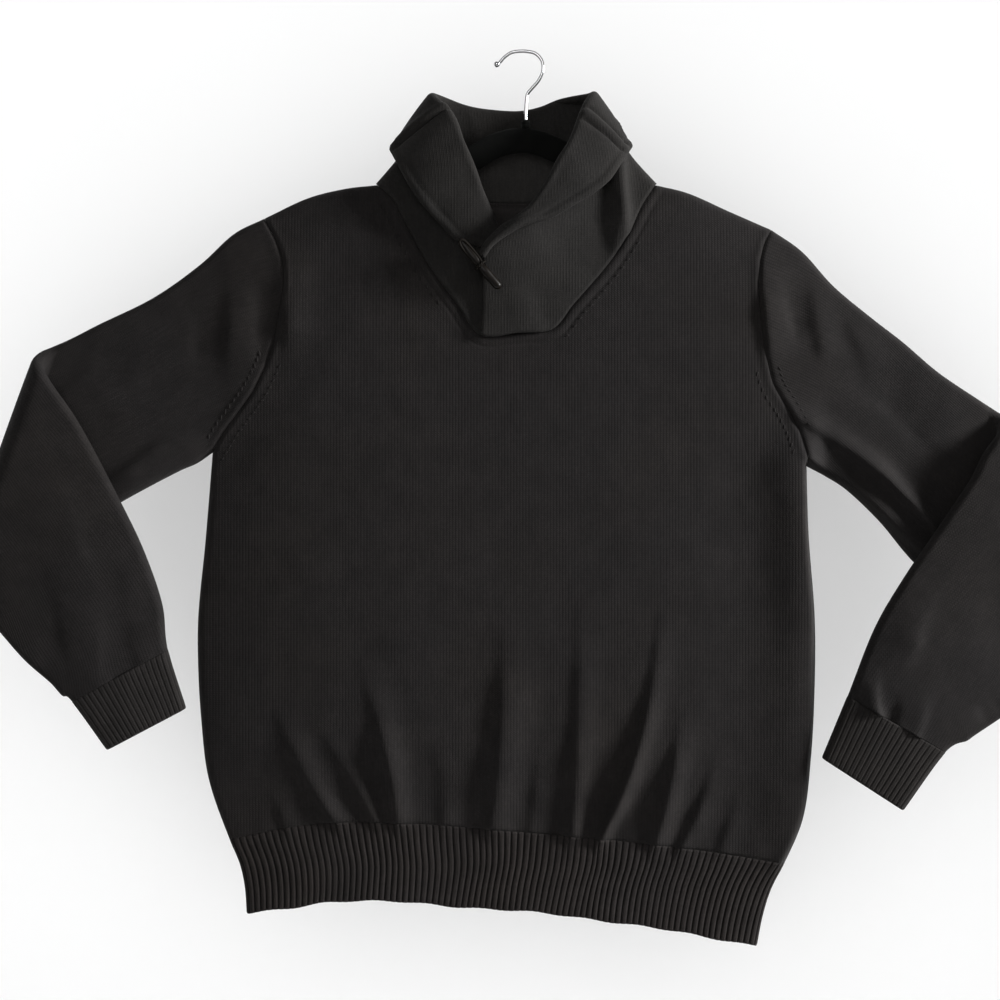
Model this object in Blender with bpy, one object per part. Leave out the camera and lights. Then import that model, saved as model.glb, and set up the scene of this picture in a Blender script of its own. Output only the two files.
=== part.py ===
"""A shawl-collar sweater on a slim hanger, hung from its hook.

Metres, +Z up.  The front faces -Y.  The origin is the inside top of the hook, and the garment's
middle plane is Y = 0.  Tables are in millimetres.  "Left" and "right" are the viewer's.

The knitted walls are shells.  Torso and sleeves share one outline, drawn flat, and one depth field,
so that they meet at the armhole seams.  A sleeve is drawn straight and then folded at the elbow.
"""
import math

import bmesh
import bpy
import numpy as np

MM = 0.001

# ---- driving sizes, in millimetres -----------------------------------------------------------
WALL = 2.5              # jersey wall
COLLAR_WALL = 4.0       # the collar is two layers
SEAM_GAP = 0.35         # between pieces at a seam
EDGE_ROUND = 6.5        # how round the silhouette is, seen in section
EDGE_LEFT = 0.55        # share of that roundness left at the hem
SWELL_REACH = 45.0      # how fast the cloth swells away from its outline
HEM_PINCH = 0.42        # the ribbed hem is this much flatter than the torso
HEM_BLOUSE = 90.0       # height over which the torso swells above the hem
TORSO_REACH = 330.0     # |x| past which the hem no longer pinches
FOLD_RADIUS = 12.0      # elbow fold, to the cloth's middle
FOREARM_SETTLE = 8.0    # how far the forearm sinks back towards the middle plane
SETTLE_START = 110.0    # from this far past the fold
SETTLE_SPAN = 160.0     # and over this length
HOLE_BLEND = 2.2        # rungs over which a sleeve's rings turn from the armhole's curve to straight
RIB_HEIGHT = 0.7        # ribs stand this far out, and grooves as far in
HEM_RIBS = 88           # on each face
CUFF_RIBS = 19          # on each face
CUFF_TRIM = 0.003       # half of the cuff's seam gap, in rungs
ELBOW_TRIM = 0.004      # and of the gap between the sleeve's two stretches
ARM_RINGS = 8           # rings of the upper arm, and of the forearm
FOLD_RINGS = 7          # rings round the elbow's fold
COLLAR_ROLL = 3.4       # radius of the collar's roll, to the cloth's middle
LAP_DEPTH = -22.3       # collar seams further forward than this belong to the upper lap
SNAP = 0.01             # columns stop this far short of a neck point
COLLAR_GAP = 1.1        # from the panels' neckline, along the stand
COLLAR_BOW = 4.0        # the stand bows in this far between seam and roll
FALL_BOW = 1.5          # and the fall bows out this far

# ---- outline, in millimetres (x, z) ----------------------------------------------------------
SHOULDER = {"left": [(-136, -127), (-164, -130), (-201, -139), (-244, -159)],
            "right": [(131, -127), (160, -134), (201, -152), (242, -170)]}
ARMHOLE = {"left": [(-244, -159), (-232, -181), (-225, -200), (-224, -222), (-228, -248), (-233, -277),
                    (-241, -302), (-253, -325), (-269, -347), (-283, -366), (-294, -384)],
           "right": [(242, -170), (235, -182), (230, -200), (228, -223), (230, -261), (235, -291),
                     (242, -319), (257, -343), (267, -364), (276, -397)]}
SIDE = {"left": [(-294, -384), (-301, -469), (-308, -544), (-308, -588), (-305, -640), (-298, -696),
                 (-278, -754), (-268, -777), (-263, -799), (-261, -826)],
        "right": [(276, -397), (278, -461), (284, -544), (284, -602), (280, -680), (272, -737),
                  (255, -777), (243, -799), (234, -826), (228, -856)]}
NECK_FRONT = [(-136, -127), (-120, -143), (-111, -160), (-99, -183), (-88, -203), (-75, -222),
              (-60, -242), (-36, -273), (-2, -271), (32, -267), (51, -244), (66, -227), (83, -207),
              (96, -188), (107, -169), (118, -147), (131, -127)]
NECK_BACK = [(-136, -127), (-118, -134), (-82, -139), (-43, -141), (0, -142), (40, -141), (79, -139),
             (115, -134), (131, -127)]
HEM_TOP = [(-278, -754), (-190, -738), (-102, -738), (-13, -745), (75, -753), (163, -763), (255, -777)]
HEM_END = [(-261, -826), (-221, -820), (-181, -813), (-124, -813), (-57, -818), (30, -825),
           (118, -837), (228, -856)]

# ---- sleeves: the two edges of the flattened tube at each rung --------------------------------
# Upper-arm rungs lie as drawn.  Forearm rungs are given where they lie after the fold.
UPPER_ARM = {"left": [((-244, -159), (-294, -384)), ((-274, -174), (-309, -394)),
                      ((-307, -204), (-327, -402)), ((-351, -235), (-367, -423)),
                      ((-402, -260), (-441, -464)), ((-438, -278), (-511, -493))],
             "right": [((242, -170), (276, -397)), ((272, -191), (295, -407)),
                       ((302, -224), (316, -421)), ((338, -254), (347, -451)),
                       ((369, -278), (380, -490)), ((403, -307), (431, -532)),
                       ((446, -336), (482, -579))]}
FOREARM = {"left": [((-444, -316), (-515, -527)), ((-415, -359), (-491, -555)),
                    ((-375, -435), (-468, -581)), ((-354, -480), (-444, -602)),
                    ((-338, -528), (-433, -614)), ((-333, -571), (-423, -620)),
                    ((-316, -627), (-390, -666))],
           "right": [((443, -379), (481, -618)), ((427, -409), (468, -627)),
                     ((397, -454), (455, -636)), ((363, -504), (431, -652)),
                     ((336, -551), (424, -657)), ((311, -615), (403, -668)),
                     ((287, -674), (363, -723))]}
CREASE = {"left": ((-438, -278), (-0.32, -0.95)), "right": ((446, -336), (0.142, -0.99))}
# Half depth of the cloth against the distance from the middle, along the straightened sleeve.
DEPTH_TABLE = [(0, 20), (150, 20), (230, 17), (330, 13.5), (430, 10.5), (520, 10.5), (650, 12.5), (800, 9)]

# ---- largest folds: start x z, end x z, half width, height (minus is a trough) ----------------
FRONT_FOLDS = [(-218, -650, -170, -745, 13, 6), (-190, -660, -140, -742, 11, -3),
               (-136, -617, -77, -742, 14, 6), (-151, -635, -131, -735, 11, -3.5),
               (-32, -591, -35, -742, 13, -4), (2, -600, 0, -745, 15, 3.5),
               (39, -617, 39, -748, 12, -4.5), (111, -591, 61, -748, 12, -3.5),
               (126, -587, 91, -750, 12, 6.5), (136, -675, 120, -750, 10, -4.5),
               (158, -679, 140, -752, 11, 5), (184, -714, 160, -756, 9, 3.5),
               (252, -705, 236, -765, 12, 3)]
BACK_FOLDS = [(-205, -660, -165, -742, 14, 5), (-120, -630, -84, -740, 13, 5.5),
              (-158, -650, -128, -740, 11, -3.5), (-44, -600, -40, -744, 13, -4),
              (20, -610, 14, -746, 14, 4.5), (72, -640, 60, -750, 12, -3.5),
              (118, -600, 96, -752, 13, 6), (170, -670, 150, -756, 11, 4.5)]
RIGHT_SLEEVE_FOLDS = [(274, -352, 345, -402, 12, 7), (345, -402, 396, -470, 11, 6)]
LEFT_SLEEVE_FOLDS = [(-290, -362, -370, -400, 12, 5)]

# ---- collar: its seam, roll and free edge at each station along the band, x y z ---------------
COLLAR = [("right end", (-36, -25.5, -273), (-34, -33.5, -193), (-28, -41, -201)),
          ("right lap", (-9, -25.5, -272), (-29, -35.5, -184), (-23, -43, -193)),
          ("right lap 2", (15, -25, -271), (-18, -36.5, -173), (-11, -44, -183)),
          ("right corner", (32, -22.5, -267), (-4, -36.5, -164), (5, -43.5, -172)),
          ("right front 1", (51, -21.5, -244), (9, -35.5, -154), (26, -41, -165)),
          ("right front 2", (66, -21, -227), (23, -34, -133), (48, -39, -152)),
          ("right front 3", (83, -20, -207), (35, -31, -111), (69, -36, -139)),
          ("right front 4", (96, -18, -188), (44, -27, -96), (84, -32, -126)),
          ("right front 5", (107, -14, -169), (51, -20, -79), (94, -25, -111)),
          ("right side 1", (118, -8, -147), (59, -11, -59), (102, -14, -98)),
          ("right side 2", (131, 0, -127), (66, 0, -43), (107, 0, -89)),
          ("right back 1", (115, 9, -134), (65, 12, -38), (101, 18, -92)),
          ("right back 2", (79, 14, -139), (40, 21, -41), (72, 29, -110)),
          ("right back 3", (40, 16, -141), (20, 25, -47), (32, 31, -124)),
          ("middle back", (0, 17, -142), (-3, 26, -51), (-2, 32, -130)),
          ("left back 3", (-43, 16, -141), (-28, 25, -50), (-38, 31, -125)),
          ("left back 2", (-82, 14, -139), (-51, 21, -46), (-80, 29, -111)),
          ("left back 1", (-118, 9, -134), (-75, 12, -40), (-115, 18, -94)),
          ("left side 2", (-136, 0, -127), (-78, 0, -45), (-122, 0, -92)),
          ("left side 1", (-120, -8, -143), (-66, -9, -57), (-117, -13, -103)),
          ("left front 5", (-111, -13, -160), (-60, -16, -69), (-111, -21, -115)),
          ("left front 4", (-99, -18, -183), (-54, -21, -85), (-103, -27, -130)),
          ("left front 3", (-88, -20, -203), (-48, -24, -100), (-94, -30, -144)),
          ("left front 2", (-75, -21, -222), (-41, -25.5, -120), (-83, -31, -157)),
          ("left front 1", (-60, -21, -242), (-35, -25, -137), (-72, -30.5, -169)),
          ("left corner", (-48, -21.5, -258), (-29, -22, -154), (-59, -27.5, -182)),
          ("left lap", (-36, -21, -273), (-21, -20, -171), (-36, -26, -188)),
          ("left end", (-8, -21, -271), (-9, -20.5, -182), (-14, -26.5, -193))]

# ---- hanger, hook and toggle ------------------------------------------------------------------
HANGER_TOP = [(-224, -160), (-206, -144.85), (-170, -136), (-140, -138), (-106, -124), (-76, -106),
              (-48, -90), (-27, -78), (0, -72), (22, -75), (46, -85), (78, -104), (106, -124),
              (133, -139.5), (160, -139.5), (196, -154.45), (222, -174)]
HANGER_HEIGHT = 24.0
HANGER_THICK = 6.0
HANGER_STEPS = 31       # sections along the hanger
TIP_STEPS = 2.0         # sections over which a tip rounds off
TIP_START = 0.12        # share of that at which the bar ends
# Section of the bar: shares of its thickness, and of its height from the top.
HANGER_SECTION = [(-0.5, 0.12), (-0.5, 0.88), (-0.25, 0.98), (0.25, 0.98), (0.5, 0.88), (0.5, 0.12),
                  (0.25, 0.02), (-0.25, 0.02)]
WIRE_RADIUS = 1.7
HOOK_PATH = [(6.4, -64.7), (6.4, -56), (7.2, -45), (8.1, -39.5), (12.3, -34), (18.4, -27), (22.6, -18),
             (22.2, -8), (16, -0.6), (7, 1.6), (0, 1.7), (-7.3, 0.4), (-13.4, -3.6), (-19.5, -9.8),
             (-24, -12)]
HOOK_STEPS = 30
BALL_RADIUS = 3.0
BALL_END = 0.5          # radius of the ball's last ring
FERRULE_CHAMFER = 0.85  # its end rings are this much smaller
FERRULE = {"radius": 4.2, "top": -65.0, "bottom": -72.2}
TOGGLE_ENDS = ((-56, -38, -184), (-18, -34, -230))
TOGGLE_BOW = 2.2        # its middle bows out this far
TOGGLE_RADIUS = 4.2
TOGGLE_TAPER = 0.28     # its radius falls by this share towards the ends
TOGGLE_END = 0.55       # the last rings are this much smaller, to round the ends
LOOP_WIRE = 1.0
LOOP_SLACK = 0.7        # between the loop's cord and the toggle
LOOP_DROP = 1.6         # the loop reaches this far back towards the collar

COLOURS = {"knit": (0.018, 0.0165, 0.0155), "rib": (0.020, 0.017, 0.0165), "collar": (0.021, 0.020, 0.019),
           "velvet": (0.003, 0.003, 0.003), "chrome": (0.75, 0.75, 0.75), "horn": (0.035, 0.02, 0.012),
           "cord": (0.02, 0.018, 0.016)}
ROUGHNESS = {"chrome": 0.12, "horn": 0.4}
CLOTH_ROUGHNESS = 0.9


# ---- curves and fields ------------------------------------------------------------------------
def spline(knots, values, x):
    """Smooth curve through a table: cubic Hermite pieces whose slopes are the chord slopes' means."""
    knots, values = np.asarray(knots, float), np.asarray(values, float)
    chord = np.diff(values, axis=0) / np.diff(knots)[(...,) + (None,) * (values.ndim - 1)]
    slope = np.concatenate([chord[:1], (chord[1:] + chord[:-1]) / 2, chord[-1:]])
    x = np.clip(x, knots[0], knots[-1])
    i = np.clip(np.searchsorted(knots, x, side="right") - 1, 0, len(knots) - 2)
    width = knots[i + 1] - knots[i]
    t = (x - knots[i]) / width
    if values.ndim > 1:
        t, width = t[..., None], width[..., None]
    return ((1 + 2 * t) * (1 - t) ** 2 * values[i] + t * (1 - t) ** 2 * width * slope[i]
            + t * t * (3 - 2 * t) * values[i + 1] + t * t * (t - 1) * width * slope[i + 1])


def along(points, count):
    """A smooth curve through points, read at even steps of its own length."""
    points = np.asarray(points, float)
    steps = np.concatenate([[0], np.cumsum(np.linalg.norm(np.diff(points, axis=0), axis=1))])
    dense = spline(steps, points, np.linspace(0, steps[-1], 40 * len(points)))
    length = np.concatenate([[0], np.cumsum(np.linalg.norm(np.diff(dense, axis=0), axis=1))])
    even = np.linspace(0, length[-1], count)
    return np.stack([np.interp(even, length, dense[:, k]) for k in range(points.shape[1])], axis=-1)


def unit(v):
    return v / np.maximum(np.linalg.norm(v, axis=-1, keepdims=True), 1e-9)


def smooth_step(x):
    x = np.clip(x, 0, 1)
    return x * x * (3 - 2 * x)


def distance(x, z, line):
    """Distance from points to an open chain of straight pieces."""
    best = np.full(np.shape(x), np.inf)
    for (ax, az), (bx, bz) in zip(line[:-1], line[1:]):
        length2 = (bx - ax) ** 2 + (bz - az) ** 2
        t = np.clip(((x - ax) * (bx - ax) + (z - az) * (bz - az)) / length2, 0, 1)
        best = np.minimum(best, np.hypot(x - ax - t * (bx - ax), z - az - t * (bz - az)))
    return best


def crease_frame(side):
    """Point, direction and outward normal of an elbow's crease, in the flat drawing."""
    point, run = (np.array(v, float) for v in CREASE[side])
    run /= np.linalg.norm(run)
    outward = np.array([-run[1], run[0]])
    if outward[0] * point[0] < 0:
        outward = -outward
    return point, run, outward


def unfold(side, q):
    """Where a forearm point lies once the sleeve is straightened about its crease."""
    point, run, outward = crease_frame(side)
    q = np.asarray(q, float) - point
    return point + run * (q @ run) + outward * (math.pi * FOLD_RADIUS - q @ outward)


def fold(side, x, z, off):
    """Carry flat points, off in front of the cloth's middle, round the elbow's fold."""
    point, run, outward = crease_frame(side)
    s = (x - point[0]) * outward[0] + (z - point[1]) * outward[1]
    t = (x - point[0]) * run[0] + (z - point[1]) * run[1]
    turn = np.clip(s / FOLD_RADIUS, 0, math.pi)
    past = np.maximum(s - math.pi * FOLD_RADIUS, 0)
    out = np.minimum(s, 0) + (FOLD_RADIUS - off) * np.sin(turn) - past
    settle = FOREARM_SETTLE * smooth_step((past - SETTLE_START) / SETTLE_SPAN)
    y = -FOLD_RADIUS + (FOLD_RADIUS - off) * np.cos(turn) + settle
    return np.stack([point[0] + run[0] * t + outward[0] * out, y,
                     point[1] + run[1] * t + outward[1] * out], axis=-1)


def sleeve_edges(side):
    """Rungs of the straightened sleeve, as an array of rung, edge (0 top, 1 under), x z."""
    return np.array([list(rung) for rung in UPPER_ARM[side]]
                    + [[unfold(side, p) for p in rung] for rung in FOREARM[side]], float)


def sleeve_flat(side, rung, across):
    """Flat place at a rung number and a share of the way from the top edge to the under edge."""
    rungs = sleeve_edges(side)
    numbers = np.arange(len(rungs))
    top, under = spline(numbers, rungs[:, 0], rung), spline(numbers, rungs[:, 1], rung)
    straight = top + (under - top) * across[..., None]
    hole_z = rungs[0, 0, 1] + (rungs[0, 1, 1] - rungs[0, 0, 1]) * across
    hole = np.stack([torso_edge(side, hole_z + 1e-6), hole_z], axis=-1)
    chord = rungs[0, 0] + (rungs[0, 1] - rungs[0, 0]) * across[..., None]
    return straight + (1 - smooth_step(rung / HOLE_BLEND))[..., None] * (hole - chord)


def torso_edge(side, z):
    """x of the panel's edge at a height: the armhole down to the armpit, then the side seam."""
    armpit = ARMHOLE[side][-1][1]
    hole = spline(*np.transpose([(-b, a) for a, b in ARMHOLE[side]]), -z)
    seam = spline(*np.transpose([(-b, a) for a, b in SIDE[side]]), -z)
    return np.where(z > armpit, hole, seam)


def outlines():
    """The silhouette of the flat drawing: two lines over the shoulders and two under the arms."""
    over, under = [], []
    for side in ("left", "right"):
        count = len(UPPER_ARM[side]) + len(FOREARM[side])
        rungs = np.linspace(0, count - 1, 8 * count)
        over.append(np.vstack([along(SHOULDER[side], 30), sleeve_flat(side, rungs, 0 * rungs)[1:]]))
        z = np.linspace(SIDE[side][0][1], SIDE[side][-1][1], 50)
        seam = np.stack([torso_edge(side, z - 1e-6), z], axis=-1)
        under.append(np.vstack([sleeve_flat(side, rungs, 0 * rungs + 1)[::-1], seam[1:]]))
    return over + under


OUTLINES = outlines()


def hem_line(x):
    return spline(*np.transpose(HEM_TOP), x)


def depth(x, z, folds):
    """Half depth of the garment: round at the outline, swelling inwards, pinched at the hem."""
    over = np.minimum(distance(x, z, OUTLINES[0]), distance(x, z, OUTLINES[1]))
    under = np.minimum(distance(x, z, OUTLINES[2]), distance(x, z, OUTLINES[3]))
    near = np.clip(np.minimum(over, under) / EDGE_ROUND, 0, 1)
    full = spline(*np.transpose(DEPTH_TABLE), np.abs(x))
    inside = (1 - np.exp(-over / SWELL_REACH)) * (1 - np.exp(-under / SWELL_REACH))
    blouse = HEM_PINCH + (1 - HEM_PINCH) * smooth_step((z - hem_line(x)) / HEM_BLOUSE)
    blouse = np.where(np.abs(x) < TORSO_REACH, blouse, 1)
    swell = (full - EDGE_ROUND) * inside * blouse
    edge = EDGE_ROUND * np.sqrt(1 - (1 - near) ** 2) * (EDGE_LEFT + (1 - EDGE_LEFT) * blouse)
    for x0, z0, x1, z1, width, height in folds:
        gap = distance(x, z, [(x0, z0), (x1, z1)])
        swell = swell + height * np.exp(-(gap / width) ** 2) * inside
    return edge + swell


# ---- meshes -----------------------------------------------------------------------------------
def normals(grid, wrap=False):
    """Unit normals of a grid of points, by differences along its rows and columns."""
    if wrap:
        padded = np.concatenate([grid[:, -1:], grid, grid[:, :1]], axis=1)
        across = padded[:, 2:] - padded[:, :-2]
    else:
        across = np.gradient(grid, axis=1)
    return unit(np.cross(np.gradient(grid, axis=0), across))


def strip(a, b):
    """Faces between two rows of vertex numbers, which may differ in count."""
    faces, i, j = [], 0, 0
    while i < len(a) - 1 or j < len(b) - 1:
        ahead_a = (i + 1) / (len(a) - 1) if i < len(a) - 1 else 2
        ahead_b = (j + 1) / (len(b) - 1) if j < len(b) - 1 else 2
        if abs(ahead_a - ahead_b) < 1e-9:
            faces.append((a[i], a[i + 1], b[j + 1], b[j]))
            i, j = i + 1, j + 1
        elif ahead_a < ahead_b:
            faces.append((a[i], a[i + 1], b[j]))
            i += 1
        else:
            faces.append((a[i], b[j + 1], b[j]))
            j += 1
    return faces


def shell(name, outer, inner, colour, wrap=False):
    """A closed wall between two grids: their faces, and a rim along every open edge."""
    faces, numbers, start = [], [], 0
    for grid in (outer, inner):
        number = start + np.arange(grid.shape[0] * grid.shape[1]).reshape(grid.shape[:2])
        start += number.size
        if wrap:
            number = np.concatenate([number, number[:, :1]], axis=1)
        numbers.append(number)
        for upper, lower in zip(number[:-1], number[1:]):
            faces += strip(upper, lower)
    out, inn = numbers
    edges = [(out[0], inn[0]), (out[-1], inn[-1])]
    if not wrap:
        edges += [(out[:, 0], inn[:, 0]), (out[:, -1], inn[:, -1])]
    for a, b in edges:
        faces += strip(a, b)
    points = np.concatenate([outer.reshape(-1, 3), inner.reshape(-1, 3)]) * MM
    return add_object(name, points, faces, colour)


def add_object(name, points, faces, colour):
    mesh = bpy.data.meshes.new(name)
    mesh.from_pydata([tuple(p) for p in points], [], [tuple(int(i) for i in f) for f in faces])
    made = bmesh.new()
    made.from_mesh(mesh)
    bmesh.ops.recalc_face_normals(made, faces=made.faces)
    made.to_mesh(mesh)
    made.free()
    mesh.shade_smooth()
    mesh.set_sharp_from_angle(angle=math.radians(50))
    thing = bpy.data.objects.new(name, mesh)
    bpy.context.scene.collection.objects.link(thing)
    mesh.materials.append(material(colour))
    return thing


def material(colour):
    found = bpy.data.materials.get(colour)
    if found:
        return found
    made = bpy.data.materials.new(colour)
    made.use_nodes = True
    surface = made.node_tree.nodes["Principled BSDF"]
    surface.inputs["Base Color"].default_value = (*COLOURS[colour], 1)
    surface.inputs["Roughness"].default_value = ROUGHNESS.get(colour, CLOTH_ROUGHNESS)
    surface.inputs["Metallic"].default_value = 1.0 if colour == "chrome" else 0.0
    return made


# ---- torso ------------------------------------------------------------------------------------
# Shares of the armhole's height where the panels and the sleeves have their points.
ARM_SHARES = np.array([0, .008, .035, .13, .29, .47, .65, .82, .94, .985, 1])
# Column places close to a side, as shares of the width, so that the round edge is smooth.
SIDE_STEPS = np.array([0.0, 0.0016, 0.0065, 0.013, 0.03])
COLUMN = 19.0           # widest column of a panel
BACK_CUTS = (4, 8)      # rows at which the back is cut across: below the shoulders, above the armpits
NECK_STEP = 4.0         # column this close inside each neck point


def panel_columns(neck):
    """Shares of the width where a panel has columns, and the height each starts from."""
    top = np.vstack([along(SHOULDER["left"], 60)[::-1], along(neck, 200)[1:-1], along(SHOULDER["right"], 60)])
    left, right = torso_edge("left", top[:, 1]), torso_edge("right", top[:, 1])
    share = (top[:, 0] - left) / (right - left)
    marks = [neck[0][0] + SNAP, neck[0][0] + NECK_STEP, *(x for x, _ in neck[1:-1]),
             neck[-1][0] - NECK_STEP, neck[-1][0] - SNAP]
    stops = [*SIDE_STEPS, *np.interp(marks, top[:, 0], share), *(1 - SIDE_STEPS[::-1])]
    width = SIDE["right"][0][0] - SIDE["left"][0][0]
    columns = []
    for a, b in zip(stops[:-1], stops[1:]):
        count = max(1, round((b - a) * width / COLUMN))
        columns += list(np.linspace(a, b, count + 1)[:-1])
    columns = np.array(columns + [1.0])
    return columns, np.interp(columns, share, top[:, 1])


def between(line, share):
    """Value a share of the way from the first to the last number of a line."""
    return line[0] + (line[-1] - line[0]) * share


def seam_plane(y, rows, facing):
    """Bring the outermost columns of some rows to the plane where front and back are sewn."""
    y[rows, 0] = facing * SEAM_GAP / 2
    y[rows, -1] = facing * SEAM_GAP / 2


def torso_grid(neck, rows, facing, folds):
    """Outer points of a panel: columns fan between its two edges, rows run from the top to the hem."""
    columns, z_top = panel_columns(neck)
    z_mid = between([ARMHOLE[side][-1][1] for side in ("left", "right")], columns)
    z_low = hem_line(between([x for x, _ in HEM_TOP], columns)) + SEAM_GAP / 2
    z = np.vstack([z_top + (z_mid - z_top) * v for v in ARM_SHARES]
                  + [z_mid + (z_low - z_mid) * v for v in np.linspace(0, 1, rows + 1)[1:]])
    left, right = torso_edge("left", z), torso_edge("right", z)
    x = left + (right - left) * columns
    y = facing * np.maximum(depth(x, z, folds), SEAM_GAP / 2)
    seam_plane(y, slice(len(ARM_SHARES) - 1, None), facing)
    shoulder = (x[0] <= neck[0][0]) | (x[0] >= neck[-1][0])
    y[0, shoulder] = facing * SEAM_GAP / 2
    return np.stack([x, y, z], axis=-1)


def within_cut(n, run):
    """Turn normals along an edge, run being its direction, so that a wall's rim stays on the cut."""
    cut = unit(np.stack([run[:, 2], 0 * run[:, 0], -run[:, 0]], axis=-1))
    return unit(n - cut * np.sum(n * cut, axis=-1, keepdims=True))


def within_seam(n, line):
    """The same for an edge of a panel, whose sewn stretches are cut by the middle plane instead."""
    sewn = np.abs(line[:, 1:2]) < 2 * SEAM_GAP
    level = unit(n * (1, 0, 1))
    return np.where(sewn, level, within_cut(n, np.gradient(line, axis=0)))


def inward(grid, facing, wall, shoulders=True):
    """The inner points of a panel, a wall's thickness in and never past the middle plane.

    A panel with shoulders has its top corners on the middle plane, where its armholes start.
    """
    n = normals(grid)
    n = n * np.sign(np.sum(n[..., 1]) * facing)
    for edge in ((0, slice(None)), (-1, slice(None)), (slice(None), 0), (slice(None), -1)):
        n[edge] = within_seam(n[edge], grid[edge])
    for column in (0, -1) if shoulders else ():
        down = grid[1, column] - grid[0, column]
        n[0, column] = (-down[0], 0, -down[2]) / np.hypot(down[0], down[2])
    inner = grid - wall * n
    inner[..., 1] = facing * np.maximum(facing * inner[..., 1], SEAM_GAP / 2)
    return inner


def front_panel():
    grid = torso_grid(NECK_FRONT, 10, -1, FRONT_FOLDS)
    shell("front_panel", grid, inward(grid, -1, WALL), "knit")
    return grid[0]


def back_panel():
    """The back in three pieces, one below the other, cut across so that none of them bends far."""
    grid = torso_grid(NECK_BACK, 8, 1, BACK_FOLDS)
    rows = (0, *BACK_CUTS, len(grid) - 1)
    for name, first, last in zip(("back_yoke", "back_middle", "back_panel"), rows[:-1], rows[1:]):
        piece = grid[first:last + 1].copy()
        if first > 0:
            piece[0] += unit(piece[1] - piece[0]) * SEAM_GAP / 2
        if last < len(grid) - 1:
            piece[-1] += unit(piece[-2] - piece[-1]) * SEAM_GAP / 2
        shell(name, piece, inward(piece, 1, WALL, shoulders=first == 0), "knit")
    return grid[0]


# ---- hem, sleeves and cuffs -------------------------------------------------------------------
def even_steps(points, count):
    """Numbers of the places that split a dense line into even lengths, as shares of the line."""
    length = np.concatenate([[0], np.cumsum(np.linalg.norm(np.diff(points, axis=0), axis=1))])
    share = np.linspace(0, 1, len(points))
    return np.interp(np.linspace(0, length[-1], count), length, share)


def hem_point(share, drop, facing):
    """Place on the hem at a share of its width and a share of its height, ribs left out."""
    top = hem_line(between([x for x, _ in HEM_TOP], share)) - SEAM_GAP / 2
    end = spline(*np.transpose(HEM_END), between([x for x, _ in HEM_END], share))
    z = top + (end - top) * drop
    left, right = torso_edge("left", z), torso_edge("right", z)
    x = left + (right - left) * share
    y = np.where((share > 0) & (share < 1), depth(x, z, []), 0)
    return np.stack([x, facing * np.maximum(y, SEAM_GAP / 2), z], axis=-1)


def hem_face(name, facing):
    """Half of the ribbed hem: grooves and ribs outside, plain inside."""
    dense = 0.5 - 0.5 * np.cos(np.linspace(0, math.pi, 900))
    drops = np.array([0.0, 1.0])

    def grid(count):
        rows = []
        for drop in drops:
            share = np.interp(even_steps(hem_point(dense, drop, facing), count),
                              np.linspace(0, 1, len(dense)), dense)
            rows.append(hem_point(share, drop, facing))
        return np.array(rows)

    outer, plain = grid(2 * HEM_RIBS + 1), grid(HEM_RIBS + 1)
    n = normals(outer)
    n = n * np.sign(np.sum(n[..., 1]) * facing)
    n[..., 2] = 0
    relief = RIB_HEIGHT * np.where(np.arange(2 * HEM_RIBS + 1) % 2, 1, -1)
    outer = outer + n * relief[None, :, None]
    outer[..., 1] = facing * np.maximum(facing * outer[..., 1], SEAM_GAP / 2)
    m = normals(plain)
    m = m * np.sign(np.sum(m[..., 1]) * facing)
    m[..., 2] = 0
    for column in (0, -1):
        m[:, column] = within_seam(m[:, column], plain[:, column])
    inner = plain - (WALL + RIB_HEIGHT) * m
    inner[..., 1] = facing * np.maximum(facing * inner[..., 1], SEAM_GAP / 2)
    return shell(name, outer, inner, "rib")


def tube(side, rungs, across, folds):
    """Outer points of a stretch of sleeve, ring by ring: the front from top to under edge, then back."""
    ring = np.concatenate([across, across[-2:0:-1]])
    front = np.concatenate([np.ones(len(across)), -np.ones(len(across) - 2)])
    rung, share = np.meshgrid(rungs, ring, indexing="ij")
    flat = sleeve_flat(side, rung, share)
    x, z = flat[..., 0], flat[..., 1]
    edge = (share > 0) & (share < 1)
    away = -1 if side == "left" else 1
    off = np.where(edge, depth(x, z, []), 0.0) * front
    swell = depth(x, z, folds) - depth(x, z, [])
    off = off + np.where(edge & (front > 0), swell, 0.0)
    x = x + away * SEAM_GAP * np.clip(1 - rung, 0, 1)
    return fold(side, x, z, off)


def outward(grid):
    """Unit normals of a closed tube, turned to point out of it."""
    n = normals(grid, wrap=True)
    middle = grid.mean(axis=1, keepdims=True)
    return n * np.sign(np.sum(n * (grid - middle), axis=(1, 2), keepdims=True))


def sleeve_rungs(side):
    """Rung numbers of the rings, for the stretch above the elbow and the one below it.

    The upper stretch ends at the crease, where the lower one starts with its fold, closer in rings.
    """
    crease = len(UPPER_ARM[side]) - 1
    last = crease + len(FOREARM[side]) - 1
    upper = np.linspace(0, crease - ELBOW_TRIM, ARM_RINGS)
    lower = np.concatenate([np.linspace(crease + ELBOW_TRIM, crease + 1, FOLD_RINGS)[:-1],
                            np.linspace(crease + 1, last - CUFF_TRIM, ARM_RINGS)])
    return upper, lower


def elbow_cut(n, ring):
    """Turn a ring's normals so that the wall's rim stays on the straight cut at the elbow."""
    across = ring[len(ARM_SHARES) - 1] - ring[0]
    return within_cut(n, np.tile(across, (len(ring), 1)))


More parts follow.
